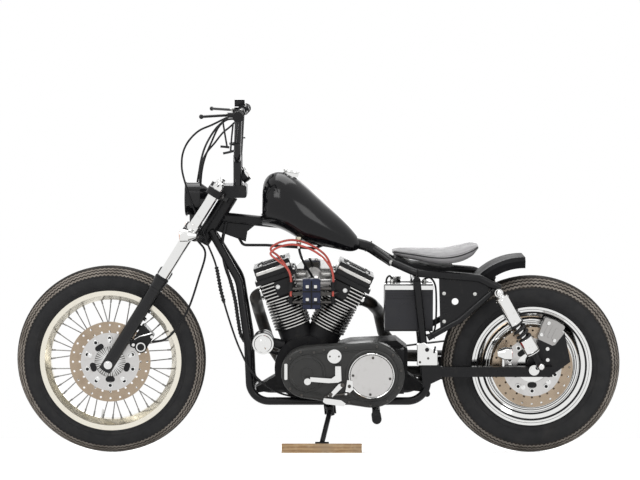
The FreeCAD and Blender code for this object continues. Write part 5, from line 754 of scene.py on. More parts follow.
# ---- Battery, oil tank and their straps
# A sealed battery of black moulded plastic under the seat, held down by a
# plated strap over its top edge; beside it the sheet-steel oil tank.
case_plastic = Finish("battery_case_plastic", (0.030, 0.030, 0.034), 0.36, specular=0.22)
case_plastic.worn(20, 0.28, 0.46).grained(1500, 0.15, 0.0001).stained(20, (0.045, 0.044, 0.042), 0.6, 0.5, 0.85)
gloss_black = Finish("gloss_black_enamel", (0.005, 0.005, 0.006), 0.16, coat=0.15, specular=0.3)
gloss_black.worn(6, 0.10, 0.22).grained(900, 0.05, 0.0001).stained(30, (0.022, 0.021, 0.02), 0.5, 0.6, 0.9)
dress("battery", case_plastic)
dress("oil_tank", gloss_black)
cell_low, cell_high = limits("battery")
oil_low, oil_high = limits("oil_tank")
cell_x = (cell_low[0] + cell_high[0]) / 2
cell_half = (cell_high[0] - cell_low[0]) / 2
lid_lip = plate_of(oblong(cell_half - 0.4, 3.4, 1.6), -0.4, 2.4, (cell_x, cell_low[1], 584))
lid_seam = plate_of(oblong(cell_half - 0.4, 1.2, 0.6), -0.4, 1.2, (cell_x, cell_low[1], 600))
bare_label = plate_of(oblong(44, 30, 3), -0.2, 0.9, (cell_x + 8, cell_low[1], 530), soften=0.3)
strap_top = plate_of(oblong(cell_half + 1.5, 11, 2), 0, 2.2, (cell_x, -52, cell_high[2]), AFT, RIGHT)
strap_front = plate_of(oblong(cell_half + 1.0, 7.5, 2), -0.4, 2.6, (cell_x, cell_low[1], cell_high[2] - 8))
posts = [turned([(0, 0), (8.5, 0), (8.5, 9), (7.4, 11), (0, 11.4)], (cell_x + d, -18, cell_high[2]), UP, 24)
         for d in (-58, 58)]
post_bolts = [hex_head((cell_x + d, -18, cell_high[2] + 11), UP, 5.2, 4) for d in (-58, 58)]
earth_lead = tube(eased([(cell_x + 58, -18, 640), (cell_x + 78, -40, 647), (cell_x + 93, -84, 628),
                         (cell_x + 97, -96, 580), (cell_x + 96, -97, 500), (cell_x + 88, -84, 455),
                         (cell_x + 60, -60, 440)]), 3.4, 10)
live_lead = tube(eased([(cell_x - 58, -18, 640), (cell_x - 66, -10, 650), (cell_x - 76, 4, 640),
                        (cell_x - 80, 10, 612), (cell_x - 80, 10, 560)]), 3.4, 10)
battery_trim = make("battery_lid_and_leads", "frame", (case_plastic, [lid_lip, lid_seam, bare_label]),
                    (bright, [strap_top, strap_front]), (zinc, posts + post_bolts),
                    (soft_rubber, [earth_lead, live_lead]))
filler = turned([(0, 0), (19, 0), (19, 6), (21, 7), (21, 15), (18.5, 17.5), (0, 18.5)],
                (oil_low[0] + 42, (oil_low[1] + oil_high[1]) / 2, oil_high[2] - 1), UP, 36)
oil_trim = make("oil_filler_cap", "frame", (bright, [filler]))


# ---- Front wheel
# A deep rolled rim laced with forty crossed spokes to a turned hub, a tall old
# fashioned tyre with zigzag ribs on its shoulders, and a drilled steel disc.
FRONT = np.array((-758.0, 0.0, 344.16))
FRONT_RING, FRONT_CROWN, FRONT_DISC_FACE, CARRIER_RADIUS = 291, 52, -60, 97.5
side_rubber = Finish("tyre_sidewall_rubber", (0.018, 0.018, 0.019), 0.62, specular=0.25)
side_rubber.worn(30, 0.56, 0.8).grained(700, 0.25, 0.0003, detail=6).stained(14, (0.035, 0.033, 0.031), 0.6, 0.5, 0.85)
tread_rubber = Finish("worn_tread_rubber", (0.028, 0.026, 0.024), 0.82, specular=0.15)
tread_rubber.worn(40, 0.74, 0.93).grained(500, 0.35, 0.0004, detail=6).stained(26, (0.085, 0.07, 0.055), 0.6, 0.45, 0.8)
# Pale colour on the raised zigzag ribs: painted highlight of the light they catch, with darker patches at random.
rib_highlight_rubber = Finish("rib_rubber_painted_highlight", (0.27, 0.24, 0.21), 0.85, specular=0.15)
rib_highlight_rubber.worn(40, 0.75, 0.93).grained(500, 0.3, 0.0003).stained(24, (0.09, 0.075, 0.06), 0.8, 0.42, 0.75)
rim_metal = Finish("polished_rim", (0.84, 0.80, 0.70), 0.16, 1.0)
rim_metal.worn(25, 0.09, 0.24).grained(400, 0.06, 0.0002).stained(40, (0.62, 0.56, 0.45), 0.25, 0.55, 0.85)
spoke_steel = Finish("spoke_steel", (0.24, 0.235, 0.225), 0.3, 1.0)
spoke_steel.worn(70, 0.14, 0.34).stained(120, (0.12, 0.10, 0.08), 0.7, 0.58, 0.8)
disc_steel = Finish("ground_disc_steel", (0.42, 0.335, 0.25), 0.34, 1.0)
disc_steel.worn(90, 0.2, 0.4).grained(60, 0.2, 0.0002, detail=8).stained(22, (0.30, 0.23, 0.17), 0.7, 0.45, 0.8)


def zigzag(hub, ring, crown, lie, teeth, swing, half, rise):
    """A raised zigzag rib round a tyre. Its middle lies at the angle a = lie + swing w(t) over the crown, w being a
    triangle wave of teeth turns; a point of the tyre is hub + (ring + (crown + lift) cos a) out(t) + (crown + lift)
    sin a y."""
    t = np.arange(teeth * 4) * 2 * np.pi / (teeth * 4)
    middle = lie + swing * 2 / np.pi * np.arcsin(np.sin(teeth * t))
    across = np.array((-half, -0.8 * half, 0.8 * half, half))
    lift = np.array((-1.2, rise, rise, -1.2))
    a = middle[:, None] + across
    radius, wide = ring + (crown + lift) * np.cos(a), (crown + lift) * np.sin(a)
    rows = np.stack((radius * np.cos(t)[:, None], wide, radius * np.sin(t)[:, None]), -1) + hub
    return shell(rows, loop=True)


def hoop(hub, ring, crown, lie, wire):
    """A thin raised ring on a sidewall: a circle of radius wire turned about the axle, ring + crown cos |lie| from it
    and crown sin lie to the right."""
    radius, y = ring + crown * math.cos(lie), crown * math.sin(lie)
    turn = np.arange(6) * np.pi / 3
    return ring_of(np.stack((radius + wire * np.cos(turn), y + wire * np.sin(turn)), -1), hub, RIGHT, 96)


def on_tread(hub, ring, reach_angle):
    """Picks the faces of a tyre whose angle over the crown, atan2(|y|, radius - ring), is under reach_angle."""
    def pick(m, n):
        radius = away_from(m, hub)
        return (np.arctan2(np.abs(m[:, 1]), radius - ring) < reach_angle) & (radius > ring)
    return pick


def wheel_parts(m, n):
    """0 the rim, 1 the hub, 2 the spokes."""
    radius = away_from(m, FRONT)
    return np.where(radius > 214, 0, np.where(radius < 45, 1, 2))


dress("front_tyre", side_rubber, tread_rubber, pick=on_tread(FRONT, FRONT_RING, 1.16))
dress("front_wheel", rim_metal, bright, spoke_steel, pick=wheel_parts)
dress("front_disc", disc_steel, lid_alloy, pick=lambda m, n: away_from(m, FRONT) < CARRIER_RADIUS)
front_ribs = [zigzag(FRONT, FRONT_RING, FRONT_CROWN, w * lie, 136, 0.042, 0.07, 1.5)
              for w in SIDES for lie in (0.62, 0.85, 1.08)]
front_hoops = [hoop(FRONT, FRONT_RING, FRONT_CROWN, w * a, 1.5) for w in SIDES for a in (1.24, 1.95, 2.16)]
front_tread = make("front_tyre_ribs", "front_wheel_body", (rib_highlight_rubber, front_ribs), (side_rubber, front_hoops))
at_rim = np.radians(9.0) * np.arange(40)
out_side = np.where(np.arange(40) % 2 == 1, -1.0, 1.0)
at_hub = at_rim + np.where(np.arange(40) % 4 < 2, 1, -1) * math.radians(62)
rim_ends = FRONT + np.stack((222 * np.cos(at_rim), 7 * out_side, -222 * np.sin(at_rim)), -1)
hub_ends = FRONT + np.stack((30 * np.cos(at_hub), 32 * out_side, -30 * np.sin(at_hub)), -1)
nipples = [turned([(0, 0), (3.9, 0), (3.9, 4.5), (3.1, 5.5), (2.9, 17), (0, 17.4)], a, b - a, 12, hexed=(2, 3))
           for a, b in zip(rim_ends, hub_ends)]
elbows = [turned([(0, -4.4), (3.4, -4.4), (3.6, -3.2), (2.4, 3.6), (0, 4)], b, RIGHT, 10) for b in hub_ends]
valve_way = unit((-36, 0, -201))
valve = turned([(0, 0), (5.2, 0), (5.2, 3), (3.2, 4.5), (3.2, 19), (4.0, 19.6), (4.0, 31), (3.2, 33), (0, 33.4)],
               FRONT + 221 * valve_way, -valve_way, 20)
disc_bolts = [hex_head(at, LEFT, 6.8, 5.6)
              for at in circle_of(FRONT, 76, FRONT_DISC_FACE, np.radians((18, 90, 162, 234, 306)))]


def carrier_buttons(hub, y, radius):
    """A ring of rivets at one radius: rings of metal, and dark discs sunk in them as painted shade in their holes."""
    places = circle_of(hub, radius, y, 2 * np.pi * (np.arange(10) + 0.5) / 10)
    return ([ring_of([(5.6, -0.4), (9.6, -0.4), (10.2, 1.4), (9.2, 3.0), (6.0, 3.0)], at, LEFT, 24) for at in places],
            [turned([(0, -0.4), (5.8, -0.4), (5.8, 1.0), (0, 1.0)], at, LEFT, 18) for at in places])


def carrier_window_shade(hub, y, radius):
    """Five dark ovals between the bolts of a disc, each turned to face the axle: painted shade in the carrier's holes.
    """
    turns = np.radians((54, 126, 198, 270, 342))
    places = circle_of(hub, radius, y, turns)
    return [plate_of(oblong(17, 10, 9.5), -0.3, 0.7, at, (-math.sin(a), 0, math.cos(a)),
                     (-math.cos(a), 0, -math.sin(a)), 0.2) for a, at in zip(turns, places)]


# The rivets' middles are dark discs of painted shade.
front_buttons, front_button_hole_shade = carrier_buttons(FRONT, FRONT_DISC_FACE, 86)
# Dark plates as painted shade in the front carrier's holes.
front_window_shade = carrier_window_shade(FRONT, FRONT_DISC_FACE, 64)
front_trim = make("front_wheel_fittings", "front_wheel_body", (spoke_steel, nipples + elbows),
                  (bright, [valve] + disc_bolts + front_buttons), (case_black, front_window_shade + front_button_hole_shade))


# ---- Rear wheel
# A heavy cast wheel, machined in steps and plated, with a broad low tyre, a
# drilled disc on the left and the toothed sprocket of the belt on the right.
# The walls of the steps and the grooves of the plated wheel are painted black as shade.
REAR = np.array((765.0, 0.0, 326.45))
REAR_RING, REAR_CROWN, REAR_DISC_FACE = 260, 65, -74


def step_wall_shade(m, n):
    """0 plated faces, 1 the walls of the steps, which look sideways out of the wheel's axis and are painted black as
    shade.
    """
    radius = away_from(m, REAR)
    return (np.abs(n[:, 1]) < 0.5) & (radius > 60) & (radius < 205)


dress("rear_tyre", side_rubber, tread_rubber, pick=on_tread(REAR, REAR_RING, 1.16))
dress("rear_wheel", bright, case_black, pick=step_wall_shade)
dress("rear_disc", disc_steel, lid_alloy, pick=lambda m, n: away_from(m, REAR) < CARRIER_RADIUS)
dress("rear_pulley", lid_alloy)
# The rear ribs take the same pale rubber of painted highlight.
rear_ribs = [zigzag(REAR, REAR_RING, REAR_CROWN, w * lie, 124, 0.038, 0.065, 1.5)
             for w in SIDES for lie in (0.58, 0.80, 1.02)]
rear_hoops = [hoop(REAR, REAR_RING, REAR_CROWN, w * a, 1.6) for w in SIDES for a in (1.2, 1.95, 2.18)]
rear_tread = make("rear_tyre_ribs", "rear_wheel_body", (rib_highlight_rubber, rear_ribs), (side_rubber, rear_hoops))
rear_disc_bolts = [hex_head(at, LEFT, 7.0, 5.6) for at in circle_of(REAR, 80, REAR_DISC_FACE, FIVE_ROUND)]
face_rings = [ring_of([(r, -0.6), (r, 0.6), (r + 1.5, 1.8), (r + 3, 0.6), (r + 3, -0.6)],
                      REAR + (0, w * 36, 0), (0, w, 0), 96) for w in SIDES for r in (152, 162)]
# Black rings in the grooves of the steps: painted shade.
GROOVES = ((156, 2.4, 36, 36), (173, 6, 41.8, 44.3), (193, 7, 50.0, 52.8), (207, 1.4, 53.8, 54.0))
groove_shade_rings = [ring_of([(r, low - 1.0), (r, low + 0.5), (r + wide, high + 0.5), (r + wide, high - 1.0)],
                        REAR, (0, w, 0), 96) for w in SIDES for r, wide, low, high in GROOVES]
# The rivets' middles are dark discs of painted shade.
rear_buttons, rear_button_hole_shade = carrier_buttons(REAR, REAR_DISC_FACE, 86)
# Dark plates as painted shade in the rear carrier's holes.
rear_window_shade = carrier_window_shade(REAR, REAR_DISC_FACE, 65)
pulley_face = limits("rear_pulley")[1][1]
rear_pulley_bolts = [hex_head(at, RIGHT, 6.6, 5) for at in circle_of(REAR, 46, pulley_face - 0.2, FIVE_ROUND)]
rear_trim = make("rear_wheel_bolts", "rear_wheel_body", (bright, rear_disc_bolts + face_rings + rear_buttons),
                 (zinc, rear_pulley_bolts), (case_black, groove_shade_rings + rear_window_shade + rear_button_hole_shade))
belt_rubber = Finish("toothed_belt_rubber", (0.014, 0.014, 0.014), 0.66, specular=0.25)
belt_rubber.worn(60, 0.55, 0.78).grained(400, 0.2, 0.0003)
dress("drive_belt", belt_rubber)


# ---- Telescopic fork
# Hard-plated steel tubes held in two cast clamps, sliding in black-painted
# alloy legs with a rubber lip on top; the clamps pinch on socket screws.
FORK_UP = unit((math.sin(math.radians(32)), 0, math.cos(math.radians(32))))
FORK_BACK, LEG = np.array((FORK_UP[2], 0.0, -FORK_UP[0])), 98


def on_fork(along, back=0.0, y=0.0):
    """A point of a fork leg: the axle + along up the leg + back across it, and y to the right."""
    return FRONT + along * FORK_UP + back * FORK_BACK + np.array((0.0, y, 0.0))


dress("fork_tubes", bright)
dress("fork_sliders", gloss_black)
dress("triple_clamps", case_black)
dress("front_axle", zinc)
dress("front_caliper", case_black)


def leg_rings_of(along, profile):
    """A closed profile turned about each leg, at one height up it."""
    return [ring_of(profile, on_fork(along, 0, w * LEG), FORK_UP, 40) for w in SIDES]


lips = leg_rings_of(363, [(19.7, 0), (25.5, 0), (26, 2), (24, 6.5), (21.5, 8.5), (19.7, 9)])
leg_rings = leg_rings_of(318, [(22.9, -6), (25.2, -5), (25.6, 0), (25.2, 5), (22.9, 6)])
lamp_bands = leg_rings_of(580, [(19.6, -9), (22.6, -8.4), (22.9, 0), (22.6, 8.4), (19.6, 9)])
fork_caps = [turned([(0, 0), (12.5, 0), (12.5, 7), (11, 8.5), (0, 9)], on_fork(758.5, 0, w * LEG), FORK_UP, 24,
                    hexed=(1, 2)) for w in SIDES]
pinch_screws = [cap_head(on_fork(z, 28.6, w * LEG), FORK_BACK, 5.4, 6) for w in SIDES for z in (546, 558, 726)]
fender_bosses = [turned([(0, 0), (7, 0), (7, 10), (6, 11), (0, 11)], on_fork(z, 18, w * LEG), FORK_BACK, 24)
                 for w in SIDES for z in (238, 206)]
boss_bolts = [hex_head(on_fork(z, 29, w * LEG), FORK_BACK, 4.6, 3.4) for w in SIDES for z in (238, 206)]
stem_nut = turned([(0, 0), (19, 0), (19, 3), (16.5, 3.4), (16.5, 10), (15, 12), (0, 12.4)], on_fork(739, 52),
                  FORK_UP, 24, hexed=(3, 4))
front_end = limits("front_axle")
axle_nuts = [hex_head((FRONT[0], front_end[0][1] + 1.5, FRONT[2]), LEFT, 12, 7)]
axle_nuts += [hex_head((FRONT[0], front_end[1][1] - 1.5, FRONT[2]), RIGHT, 12, 7)]
fork_trim = make("fork_fittings", "steering", (soft_rubber, lips), (gloss_black, leg_rings + fender_bosses),
                 (bright, lamp_bands + fork_caps + boss_bolts + [stem_nut] + axle_nuts), (dark_steel, pinch_screws))
PISTON = (-644, 402)
piston_cover = turned([(0, 0), (21, 0), (22, 1.5), (22, 6), (20.5, 7.5), (0, 7.5)],
                      (PISTON[0], -78, PISTON[1]), LEFT, 40)
piston_ring = ring_of([(12.5, 0), (17.5, 0), (17.9, 1.0), (17, 2.4), (13, 2.4)],
                      (PISTON[0], -85.5, PISTON[1]), LEFT, 40)
caliper_bolts = [cap_head((x, -81.4, z), LEFT, 6.2, 5) for x, z in ((-671, 410), (-604, 439))]
caliper_rib = tube(eased([(-668, -82, 430), (-650, -83, 440), (-626, -83, 446), (-606, -82, 452)]), 2.6, 8)
caliper_trim = make("front_caliper_bolts", "steering", (bright, [piston_ring, caliper_rib] + caliper_bolts),
                    (case_black, [piston_cover]))


# ---- Handlebar, grips and levers
# One bent steel tube on two risers, black; ribbed rubber grips, cast perches
# with black blades, and pinch bands with switches beside them.
dress("handlebar", gloss_black)
dress("handlebar_grips", soft_rubber)
dress("bar_switchgear", case_black)
dress("hand_levers", gloss_black)
BAR_HIGH = 1240.3
lever_balls = [turned([(0, -8.3), (4.2, -7.2), (7.2, -4.2), (8.3, 0), (7.2, 4.2), (4.2, 7.2), (0, 8.3)],
                      (-406.3, w * 320.8, BAR_HIGH), UP, 24) for w in SIDES]
grip_parts, end_caps, end_hole_shade, perch_parts = [], [], [], []
for w in SIDES:
    outer, inner = np.array((-279.3, w * 352.0, BAR_HIGH)), np.array((-283.6, w * 227.1, BAR_HIGH))
    along, perch = unit(inner - outer), np.array((-284.4, w * 206.0, BAR_HIGH))
    grip_parts += [ring_of([(18.2, -1.5), (19.2, -0.9), (19.2, 0.9), (18.2, 1.5)], outer + step * along, along, 32)
                   for step in np.arange(14, 116, 5.6)]
    grip_parts += [ring_of([(18.3, -2.6), (20.8, -2), (21.2, 0), (20.8, 2), (18.3, 2.6)],
                           inner - 4 * along, along, 32)]
    end_caps += [ring_of([(4.6, 0.6), (12, 0.6), (13, 0), (13, -1), (4.6, -1)], outer, -along, 32)]
    # Dark steel discs sunk in the end caps: painted shade in their holes.
    end_hole_shade += [turned([(0, -0.5), (4.6, -0.5), (4.6, 0.1), (0, 0.1)], outer, -along, 20)]
    perch_parts += [cap_head(perch + (8, 0, 16.5), (0.25, 0, 1), 3.6, 4),
                    turned([(0, 0), (5.2, 0), (5.2, 9), (4.2, 10), (4.2, 15), (0, 15.4)],
                           perch + (-33, -w * 4, 4), (-1, -w * 0.2, -0.1), 20),
                    turned([(0, -6.2), (6.2, -6.2), (6.8, -5.4), (6.8, 5.4), (6.2, 6.2), (0, 6.2)],
                           perch + (-38, 0, 0), UP, 24)]
ROD_ASIDE = -250
hanging_rods = [tube([(x, ROD_ASIDE, z) for x, z in places], thick, 10) for thick, places in (
    (3.2, ((-337, 1225), (-330, 1180), (-322, 1132))), (3.2, ((-301, 1211), (-306, 1166), (-310, 1118))),
    (4.2, ((-345, 1134), (-332, 1133), (-314, 1131))), (4.2, ((-336, 1110), (-320, 1113), (-298, 1119))))]
grips = make("grip_ribs", "steering", (soft_rubber, grip_parts), (lid_alloy, end_caps), (dark_steel, end_hole_shade))
lever_trim = make("lever_screws", "steering", (zinc, perch_parts), (gloss_black, lever_balls + hanging_rods))


# ---- Brake hoses, switch looms and clutch cable
# Steel cable and rubber hose in black sheaths. The clutch cable loops ahead of
# the headlamp and runs down past the neck to the gearbox.
sheath = Finish("cable_sheath", (0.009, 0.009, 0.010), 0.4, specular=0.25)
sheath.worn(40, 0.32, 0.5).grained(600, 0.12, 0.0002)
hose_lines = [eased([(-309, 206, 1240), (-352, 196, 1203), (-383, 186, 1174), (-408, 160, 1136), (-424, 122, 1100),
                     (-434, 90, 1060), (-440, 70, 1020), (-452, 66, 950), (-462, 58, 880), on_fork(565, -6, 34)], 10),
              eased([on_fork(539, 35, -20), (-413, -34, 735), (-437, -58, 645), (-466, -72, 556), (-494, -76, 500),
                     (-524, -78, 458), (-560, -78, 428), (-604, -76, 420)], 10)]
loom_lines = [eased([(-286, -166, 1224), (-326, -158, 1222), (-357, -142, 1195), (-384, -118, 1140), (-409, -86, 1083),
                     (-423, -52, 1028), (-430, -18, 966)], 10),
              eased([(-286, 166, 1224), (-327, 148, 1184), (-356, 126, 1160), (-384, 104, 1125), (-414, 78, 1088),
                     (-431, 48, 1044), (-436, 20, 966)], 10)]
steering_lines = make("brake_hoses_and_looms", "steering", (sheath, [tube(line, 3.8) for line in hose_lines]),
                      (soft_rubber, [tube(line, 3.4) for line in loom_lines]))
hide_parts("steering_cables")
cable_line = eased([(-302, -206, 1240), (-330, -203, 1229), (-377, -196, 1206), (-424, -160, 1184), (-462, -122, 1148),
                    (-484, -94, 1109), (-492, -80, 1068), (-488, -74, 1020), (-462, -60, 930), (-436, -56, 862),
                    (-410, -62, 790), (-374, -72, 700), (-352, -100, 600), (-318, -128, 490), (-284, -142, 400),
                    (-240, -142, 318), (-170, -134, 256), (-90, -112, 226), (-6, -100, 226), (30, -96, 262)], 10)
cable_tube = tube(cable_line, 3.5)
sleeved = cable_line[(cable_line[:, 2] < 694) & (cable_line[:, 2] > 566)]
boot_line = read_at(sleeved, np.arange(len(sleeved)), np.linspace(0, len(sleeved) - 1, 90))
boot = tube(boot_line, 1, 16, size=6.4 + 1.3 * np.sin(np.linspace(0, 2 * np.pi * 11, 90)))
clutch_cable = make("clutch_cable_sheath", None, (sheath, [cable_tube, boot]))
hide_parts("clutch_cable")
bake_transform(clutch_cable)


# ---- Headlamp, direction lamps and gauge
# A spun steel bucket with a black rim and a bowl behind moulded glass; turned
# bullet lamps with amber lenses; one small gauge in a plated bezel.
glass = Finish("clear_lamp_glass", (0.97, 0.98, 0.98), 0.03)
glass.shader.inputs["Transmission Weight"].default_value = 1.0
glass.shader.inputs["IOR"].default_value = 1.45
glass.worn(20, 0.02, 0.05).raised(glass.noise(90, stretch=(0.2, 1.0, 0.15)), 0.25, 0.0008)
bowl_mirror = Finish("silvered_bowl", (0.92, 0.92, 0.92), 0.06, 1.0)
bowl_mirror.worn(30, 0.04, 0.1)
amber = Finish("amber_lens", (0.78, 0.24, 0.02), 0.15, coat=0.5)
amber.worn(30, 0.1, 0.2).grained(260, 0.3, 0.0004)
ruby = Finish("red_lens", (0.52, 0.02, 0.015), 0.15, coat=0.5)
ruby.worn(30, 0.1, 0.2).grained(260, 0.3, 0.0004)
dial_paint = Finish("dial_face_paint", (0.74, 0.73, 0.69), 0.5)
dial_paint.worn(60, 0.42, 0.58)
dress("headlamp_shell", gloss_black)
dress("front_indicators", bright)
dress("rear_indicators", bright)
dress("instruments", case_black)
LAMP = np.array((-485.0, 0.0, 930.3))
FORWARD = (-1, 0, 0)
lamp_glass = turned([(0, -3), (53, -3), (55, 0), (50, 3.6), (36, 6.8), (18, 8.8), (0, 9.4)], LAMP + (10, 0, 0),
                    FORWARD, 64)
lamp_bowl = turned([(0, -42), (14, -40), (30, -32), (44, -19), (54, -4), (55.4, -4), (55.4, -6.5), (46, -22),
                    (32, -35.5), (15, -43.5), (0, -45.5)], LAMP + (10, 0, 0), FORWARD, 64)
lamp_bulb = turned([(0, -42), (7, -42), (7.4, -28), (5, -22), (0, -20)], LAMP + (10, 0, 0), FORWARD, 24)
headlamp = make("headlamp_glass_and_bowl", "steering", (glass, [lamp_glass]), (bowl_mirror, [lamp_bowl]),
                (dial_paint, [lamp_bulb]))
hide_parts("headlamp_lens")
lamp_rim = ring_of([(55.4, -7), (60.6, -7), (61.4, -4), (60.8, -1), (58.4, 0), (56, -0.6), (55.4, -2)], LAMP,
                   FORWARD, 72)
lamp_seam = ring_of([(58.8, -1.2), (60.2, -0.6), (60.2, 0.6), (58.8, 1.2)], LAMP + (55, 0, 0), FORWARD, 72)
lamp_screw = cap_head(LAMP + (3.5, 0, -61), (0, 0, -1), 3.2, 2.6)
lamp_trim = make("headlamp_rim", "steering", (gloss_black, [lamp_rim, lamp_seam]), (bright, [lamp_screw]))


def signals(x, z, way, wide, lip, edge):
    """The domed lens of the lamp on each side, and the bezel round it, of the three radii wide, lip and edge."""
    places = [(x, w * 152.0, z) for w in SIDES]
    return ([turned([(0, -1), (20.5, -1), (20.5, 1), (16, 3.6), (8, 5), (0, 5.4)], at, way, 36) for at in places],
            [ring_of([(20.5, -3), (wide, -3), (lip, -0.5), (edge, 1.6), (20.5, 1.2)], at, way, 36) for at in places])


front_lenses, front_bezels = signals(-493.5, 812.3, FORWARD, 22.9, 23.3, 22.7)
rear_lenses, rear_bezels = signals(681, 390, AFT, 23.2, 23.7, 23.0)
front_signals = make("front_lamp_lenses", "steering", (amber, front_lenses), (bright, front_bezels))
rear_signals = make("rear_lamp_lenses", "frame", (ruby, rear_lenses), (bright, rear_bezels))
DIAL_WAY = unit((math.sin(math.radians(55)), 0, math.cos(math.radians(55))))
DIAL = np.array((-275.3, 0.0, 1016.3)) + 14.0 * DIAL_WAY
_, dial_side, dial_up = crosswise(DIAL_WAY)
bezel = ring_of([(24.6, -5), (28.4, -5), (29, -2), (28, 1.6), (25.6, 2.2), (24.6, 0.8)], DIAL, DIAL_WAY, 56)
dial_face = turned([(0, 0), (24.6, 0), (24.6, 0.4), (0, 0.4)], DIAL, DIAL_WAY, 48)
ticks = []
for k, a in enumerate(np.radians(np.arange(-130, 131, 16.25))):
    outwards = math.cos(a) * dial_side + math.sin(a) * dial_up
    ticks.append(plate_of(oblong(0.35 if k % 2 else 0.6, 1.6 if k % 2 else 2.6, 0.2), 0.3, 0.8, DIAL + 20.5 * outwards,
                          math.cos(a) * dial_up - math.sin(a) * dial_side, outwards, 0.1))
needle = plate_of([(-5, -1.1), (14, -0.4), (17, 0), (14, 0.4), (-5, 1.1)], 0.9, 1.5, DIAL, dial_side, dial_up, 0.15)
needle_hub = turned([(0, 0), (2.6, 0), (2.4, 2.0), (0, 2.4)], DIAL, DIAL_WAY, 20)
gauge_trim = make("gauge_dial", "steering", (bright, [bezel]), (dial_paint, [dial_face]),
                  (case_black, ticks + [needle_hub]), (lead_red, [needle]))


# ---- Fuel tank and cap
# A narrow tank of pressed and welded sheet steel in deep gloss black, clear
# lacquered, with a plated screw cap, and a brass tap below it on the left.
tank_black = Finish("tank_black_lacquer", (0.004, 0.004, 0.005), 0.12, specular=0.3)
tank_black.worn(5, 0.09, 0.16).grained(900, 0.04, 0.0001).stained(24, (0.010, 0.010, 0.0095), 0.5, 0.6, 0.9)
dress("fuel_tank", tank_black)
dress("tank_cap", bright)
CAP_WAY = unit((4.0, 0, 22.0))
cap_top = np.array((-105.0, 0.0, 1012.1)) + 22.4 * CAP_WAY
cap_rim = ring_of([(24, 0), (28.6, 0), (30.2, -2), (30.4, -8), (29.2, -9), (29.0, -3), (27.4, -0.6), (24, -0.6)],
                  cap_top, CAP_WAY, 56)
cap_dome = turned([(0, -1), (21, -1), (21, 0.6), (15, 2.2), (0, 2.8)], cap_top, CAP_WAY, 48)
CAP_FORE = np.array((CAP_WAY[2], 0, -CAP_WAY[0]))
cap_notches = [turned([(0, -7.4), (1.5, -7.4), (1.5, 0), (0, 0.4)],
                      cap_top + 29.8 * (math.cos(a) * CAP_FORE + math.sin(a) * np.array(RIGHT)), CAP_WAY, 8)
               for a in np.radians(np.arange(0, 360, 20))]
cap_trim = make("tank_cap_rim", "frame", (bright, [cap_rim, cap_dome] + cap_notches))
brass = Finish("plated_brass", (0.62, 0.57, 0.45), 0.24, 1.0)
brass.worn(60, 0.14, 0.34).stained(70, (0.5, 0.42, 0.30), 0.6, 0.5, 0.8)
tap_nut = turned([(0, 0), (12, 0), (12, 9), (9, 11), (8, 22), (0, 22.4)], (-76, -70, 797), (0, -0.25, -1), 24,
                 hexed=(1, 2))
tap_body = turned([(0, 0), (8.5, 0), (9, 1), (9, 15), (7.5, 17), (0, 17)], (-76, -68, 776), LEFT, 28)
tap_key = plate_of(oblong(4, 13, 3), 0, 4, (-76, -85, 771))
tap_spout = turned([(0, 0), (4.2, 0), (4.2, 12), (0, 12)], (-76, -76, 770), (0.2, 0, -1), 16)
fuel_hose = tube(eased([(-75, -76, 764), (-72, -77, 744), (-62, -68, 714), (-44, -46, 680), (-30, -22, 652),
                        (-24, -10, 628)]), 4.6)
tap = make("fuel_tap_and_hose", "frame", (brass, [tap_nut, tap_body, tap_spout]), (bright, [tap_key]),
           (soft_rubber, [fuel_hose]))


# ---- Seat
# A solo pan padded with foam under one piece of thick black leather, painted
# grey as its sheen, its skirt sewn to the top with a welt and a row of saddle stitches.
SEAT_FRONT, SEAT_LONG, SEAT_BASE, SEAT_HIGH, SEAT_HALF = 262.0, 306.0, 690.0, 78.0, 128.0
SEAT_LINES = np.array(((0.0, 0.55, 0.72, 0.22), (0.08, 0.40, 0.77, 0.42), (0.25, 0.26, 0.76, 0.62),
                       (0.45, 0.15, 0.72, 0.92), (0.62, 0.13, 0.73, 1.0), (0.78, 0.20, 0.86, 0.98),
                       (0.92, 0.45, 0.99, 0.80), (1.0, 0.78, 0.97, 0.45)))
seat_shares = eased(SEAT_LINES[:, :3], 12)
seat_widths = eased(SEAT_LINES[:, (0, 3, 3)], 12)[:, 1]


def seat_at(turn, lift=0.0):
    """A grid over the seat: for every station along it, and every angle of turn, the point half x sin t across and
    middle + half the depth x cos t up, both drawn out to a fuller oval by the power 0.86, and lifted by lift."""
    along, low, high = seat_shares.T
    half = SEAT_HALF * seat_widths[:, None] + lift
    middle = SEAT_BASE + SEAT_HIGH * (low + high)[:, None] / 2
    deep = SEAT_HIGH * (high - low)[:, None] / 2 + lift
    t = np.broadcast_to(turn, (len(along), np.shape(turn)[-1]))
    y = half * np.sign(np.sin(t)) * np.abs(np.sin(t)) ** 0.86
    z = middle + deep * np.sign(np.cos(t)) * np.abs(np.cos(t)) ** 0.86
    x = np.broadcast_to(SEAT_FRONT + SEAT_LONG * along[:, None], y.shape)
    return np.stack((x, y, z), -1)


